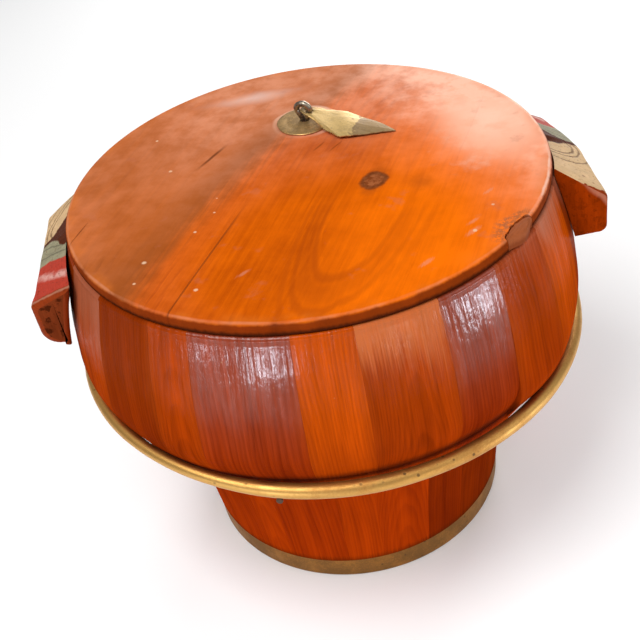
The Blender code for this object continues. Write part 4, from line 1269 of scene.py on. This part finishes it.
def tube_points(path, radius):
    """Grid of a tube in an upright plane: a circle carried square to a path of (along, height) points."""
    ahead = np.gradient(path, axis=0)
    ahead /= np.linalg.norm(ahead, axis=1)[:, None]
    turn_angle = np.linspace(0.0, 2 * math.pi, 14, endpoint=False)[None]
    across = stacked(-ahead[:, 1], ahead[:, 0])
    width = radius[:, None] * np.cos(turn_angle)
    depth = radius[:, None] * np.sin(turn_angle)
    along = path[:, None, 0] + across[:, None, 0] * width
    height = path[:, None, 1] + across[:, None, 1] * width
    return stacked(along, depth, height)


def smooth_path(corners, count):
    """A curve through corner points: each span is a cubic whose end slopes come from the points beside it."""
    corners = np.asarray(corners, dtype=float)
    padded = np.concatenate([2 * corners[:1] - corners[1:2], corners, 2 * corners[-1:] - corners[-2:-1]])
    place = np.linspace(0.0, len(corners) - 1.0001, count)
    span = place.astype(int)
    t = (place - span)[:, None]
    a, b, c, d = (padded[span + shift] for shift in range(4))
    return 0.5 * (2 * b + (c - a) * t + (2 * a - 5 * b + 4 * c - d) * t**2 + (3 * b - a - 3 * c + d) * t**3)


class BUCKET_OT_eye_pin(bpy.types.Operator):
    """Build the split eye pin: one wire up through the lid, round the eye and back"""

    bl_idname = "bucket.eye_pin"
    bl_label = "Eye pin"

    def execute(self, context):
        lid = context.scene.bucket_lid
        brass = context.scene.bucket_brass
        # Half of the wire's path, from the bent end under the lid to the top of the eye, is mirrored
        eye, squash = 0.0044, 0.8
        leg = 0.0015
        wire, wire_more = 0.0014, 0.0005
        low = -lid.thick - 0.0044
        centre = brass.eye_height - lid.thick
        half = [(-0.012, low - 0.0004), (-0.0075, low), (-0.0034, low + 0.0003)]
        half += [(-leg - 0.0002, low + 0.0022), (-leg, -0.004)]
        half += [(-leg, centre - 0.0078), (-leg - 0.0004, centre - 0.0056)]
        ring = np.radians(np.linspace(222.0, 102.0, 9))
        half += [(eye * math.cos(angle), centre + eye * squash * math.sin(angle)) for angle in ring]
        path = smooth_path(half + [(-a, h) for a, h in reversed(half)], 170)
        radius = wire * (1.0 + 0.06 * np.sin(np.linspace(0.0, 40.0, len(path))))
        radius = radius + wire_more * np.clip((path[:, 1] - 0.002) / 0.004, 0.0, 1.0)
        points = tube_points(path, radius)
        spin = np.array(Matrix.Rotation(brass.leaf_azimuth, 3, "Z"))
        finish = brass_finish("pin_brass", (0.40, 0.34, 0.26), (0.085, 0.062, 0.040), 0.50, 5.0, 0.30)
        placed = points @ spin.T + fitting_origin(lid, brass)
        dress("eye_pin", "lid", placed, [finish], 60.0)
        return {"FINISHED"}


def leaf_points(brass):
    """Grid of the leaf about its hinge: rings from the hole out to the edge, over the top and back below.

    The edge is a curve through the corners of the outline with a little wear, the plate sags by a half sine
    and is domed by a parabola of the way from the hole, and it thins towards its edge.
    """
    rim = smooth_path(LEAF_OUTLINE, 300)[:-1] / 1000
    step = np.linspace(0.0, 1.0, len(rim))
    wear = 0.00028 * np.sin(step * 331.0) + 0.00022 * np.sin(step * 757.0 + 1.0)
    wear = wear + 0.0003 * np.sin(step * 97.0)
    jag_at, jag_spread, jag_deep = 0.024, 0.008, 0.0007
    jag = bell(rim[:, 0], jag_at, jag_spread) * (rim[:, 1] < 0) * jag_deep
    wear = np.abs(wear) + jag * (1.0 + np.sin(rim[:, 0] * 3400.0))
    rim = rim * stacked(1.0, 1.0 - wear / np.maximum(np.abs(rim[:, 1]), 0.006))
    hole_centre = np.array([0.0041, 0.0])
    hole_long, hole_wide = 0.0027, 0.0024
    heading = np.arctan2(rim[:, 1] - hole_centre[1], rim[:, 0] - hole_centre[0])
    hole = hole_centre + stacked(hole_long * np.cos(heading), hole_wide * np.sin(heading))
    share = np.concatenate([[0.0, 0.03, 0.08], np.linspace(0.15, 0.88, 18), [0.94, 0.98, 1.0]])[:, None]
    sheet = hole[None] + (rim - hole)[None] * share[..., None]
    reach = np.clip(sheet[..., 0] / brass.leaf_length, 0.0, 1.0)
    dome = 0.0010 * (1 - share**2) * np.sin(math.pi * reach) ** 0.8
    sag = brass.leaf_sag * np.sin(math.pi * reach**0.7)
    dent = 0.0003 * np.sin(sheet[..., 0] * 260.0 + sheet[..., 1] * 150.0) * np.sin(math.pi * reach)
    thick = 0.0006 * (1.0 - 0.55 * share**6) * (1.0 - 0.4 * (1 - share) ** 10)
    upper = np.concatenate([sheet, (dome - sag + dent + thick)[..., None]], axis=-1)
    lower = np.concatenate([sheet, (dome - sag + dent - thick)[..., None]], axis=-1)
    return np.concatenate([upper, lower[::-1]], axis=0)


def leaf_finish(brass):
    """Worn sheet brass: a rubbed pale field in olive tarnish, with dark dirt in places and darker at the
    root.
    """
    paint = Finish("leaf_brass")
    along, side, _ = paint.flow()
    blot = paint.figure(along, side)
    cloud = blot(0.07, 0.10, 2.0, 4.0, 0.6)
    fine = blot(0.6, 0.6, 7.0, 4.0, 0.6)
    torn = blot(0.22, 0.22, 12.0, 4.0, 0.6) - 0.5
    field = paint.smooth(along + side * 0.15 + torn * 30.0, 38.0, 34.5)
    rubbed = paint.smooth(cloud + fine.swing(0.4), 0.25, 0.60)
    paint.colour = paint.mix(rubbed, scaled(brass.olive, 0.62), scaled(brass.olive, 0.95))
    paint.lay(field * (0.55 + rubbed * 0.45), (0.66, 0.445, 0.165))
    dirt = paint.smooth(fine + cloud * 0.6, 0.92, 1.08)
    paint.lay(dirt * 0.7, scaled(brass.olive, 0.3))
    root = paint.smooth(along + fine.swing(6.0), 9.0, 2.0)
    paint.lay(root * 0.75, scaled(brass.olive, 0.35))
    return paint.done(
        Metallic=0.50 - dirt * 0.3,
        Roughness=0.52 + fine.swing(0.25) - field * 0.05,
        Specular_IOR_Level=0.25,
        Normal=paint.bump(fine * 0.5 + cloud * 0.5, 0.0004, 0.6),
    )


class BUCKET_OT_leaf_pull(bpy.types.Operator):
    """Build the leaf pull that hangs in the eye and lies on the lid"""

    bl_idname = "bucket.leaf_pull"
    bl_label = "Leaf pull"

    def execute(self, context):
        lid = context.scene.bucket_lid
        brass = context.scene.bucket_brass
        points = leaf_points(brass)
        centre = brass.eye_height - lid.thick
        tip = math.asin((centre - 0.0010) / brass.leaf_length)
        spin = Matrix.Rotation(brass.leaf_azimuth, 3, "Z") @ Matrix.Rotation(tip, 3, "Y")
        placed = points @ np.array(spin).T + fitting_origin(lid, brass) + np.array([0.0, 0.0, centre])
        dress("leaf_pull", "pull", placed, [leaf_finish(brass)], 60.0, wrap=True, flow=points[..., :2])
        return {"FINISHED"}


def add_area(name, location, target, size, energy, tall=None, colour=(1.0, 1.0, 1.0)):
    """A soft light that faces a target: square, or a level strip when its height is given."""
    light = bpy.data.lights.new(name, "AREA")
    light.energy = energy
    light.color = colour
    light.size = size
    if tall is not None:
        light.shape = "RECTANGLE"
        light.size_y = tall
    lamp = bpy.data.objects.new(name, light)
    lamp.location = location
    lamp.rotation_euler = (Vector(location) - Vector(target)).to_track_quat("Z", "Y").to_euler()
    bpy.context.scene.collection.objects.link(lamp)


class BUCKET_OT_stage(bpy.types.Operator):
    """Add the floor, the soft light and the camera"""

    bl_idname = "bucket.stage"
    bl_label = "Stage"

    def execute(self, context):
        scene = context.scene
        stage = scene.bucket_stage
        half = 4.0
        mesh = bpy.data.meshes.new("floor")
        corners = [(-half, -half, 0.0), (half, -half, 0.0), (half, half, 0.0), (-half, half, 0.0)]
        mesh.from_pydata(corners, [], [(0, 1, 2, 3)])
        floor = bpy.data.objects.new("floor", mesh)
        scene.collection.objects.link(floor)
        paint = Finish("floor_paper")
        paint.colour = shade(stage.floor)
        paper = paint.done(
            Roughness=0.9,
            Specular_IOR_Level=0.1,
            Emission_Color=(1.0, 1.0, 1.0, 1.0),
            Emission_Strength=0.09,
        )
        mesh.materials.append(paper)

        world = bpy.data.worlds.new("studio")
        scene.world = world
        world.use_nodes = True
        sky = world.node_tree.nodes["Background"]
        sky.inputs["Color"].default_value = (1.0, 1.0, 1.0, 1.0)
        sky.inputs["Strength"].default_value = 0.30
        middle = (0.0, 0.0, 0.14)
        add_area("key_light", (-0.55, -0.50, 1.5), middle, 0.9, 18.5)
        add_area("fill_light", (1.2, -0.5, 1.3), middle, 1.0, 5.0)
        add_area("back_light", (0.55, 1.35, 0.55), (0.05, 0.0, 0.24), 0.8, 12.0)
        for name, *light in WINDOWS:
            add_area(f"{name}_window", *light)

        back = Vector((0.0, -math.cos(stage.elevation), math.sin(stage.elevation)))
        side = Vector((1.0, 0.0, 0.0))
        up = back.cross(side)
        sideways = math.cos(stage.roll) * side + math.sin(stage.roll) * up
        raised = math.cos(stage.roll) * up - math.sin(stage.roll) * side
        place = Matrix((sideways, raised, back)).transposed().to_4x4()
        place.translation = Vector((0.0, 0.0, stage.target)) + back * stage.distance
        camera = bpy.data.cameras.new("camera")
        camera.lens = stage.lens
        camera.sensor_width = 36.0
        camera.shift_x = stage.shift_x
        camera.shift_y = stage.shift_y
        view = bpy.data.objects.new("camera", camera)
        view.matrix_world = place
        scene.collection.objects.link(view)
        scene.camera = view
        scene.view_settings.view_transform = "Standard"
        return {"FINISHED"}


class BUCKET_PT_panel(bpy.types.Panel):
    """Steps that build the bucket"""

    bl_idname = "BUCKET_PT_panel"
    bl_label = "Rice Bucket"
    bl_space_type = "VIEW_3D"
    bl_region_type = "UI"
    bl_category = "Bucket"

    def draw(self, context):
        for operator in OPERATORS:
            self.layout.operator(operator.bl_idname)


OPERATORS = (
    BUCKET_OT_staves,
    BUCKET_OT_inner_pieces,
    BUCKET_OT_foot_band,
    BUCKET_OT_hoop,
    BUCKET_OT_handles,
    BUCKET_OT_lid_boards,
    BUCKET_OT_lid_patch,
    BUCKET_OT_rosette,
    BUCKET_OT_eye_pin,
    BUCKET_OT_leaf_pull,
    BUCKET_OT_stage,
)
SETTINGS = {
    "bucket_body": BodySettings,
    "bucket_lid": LidSettings,
    "bucket_brass": BrassSettings,
    "bucket_handle": HandleSettings,
    "bucket_stage": StageSettings,
}


def register():
    """Register the settings, the operators and the panel."""
    for name, group in SETTINGS.items():
        bpy.utils.register_class(group)
        setattr(bpy.types.Scene, name, PointerProperty(type=group))
    for item in (*OPERATORS, BUCKET_PT_panel):
        bpy.utils.register_class(item)


def unregister():
    """Take back what register added."""
    for item in reversed((*OPERATORS, BUCKET_PT_panel)):
        bpy.utils.unregister_class(item)
    for name, group in SETTINGS.items():
        delattr(bpy.types.Scene, name)
        bpy.utils.unregister_class(group)


def main():
    """Build every piece in order."""
    register()
    for operator in OPERATORS:
        space, step = operator.bl_idname.split(".")
        getattr(getattr(bpy.ops, space), step)()


if __name__ == "__main__":
    main()
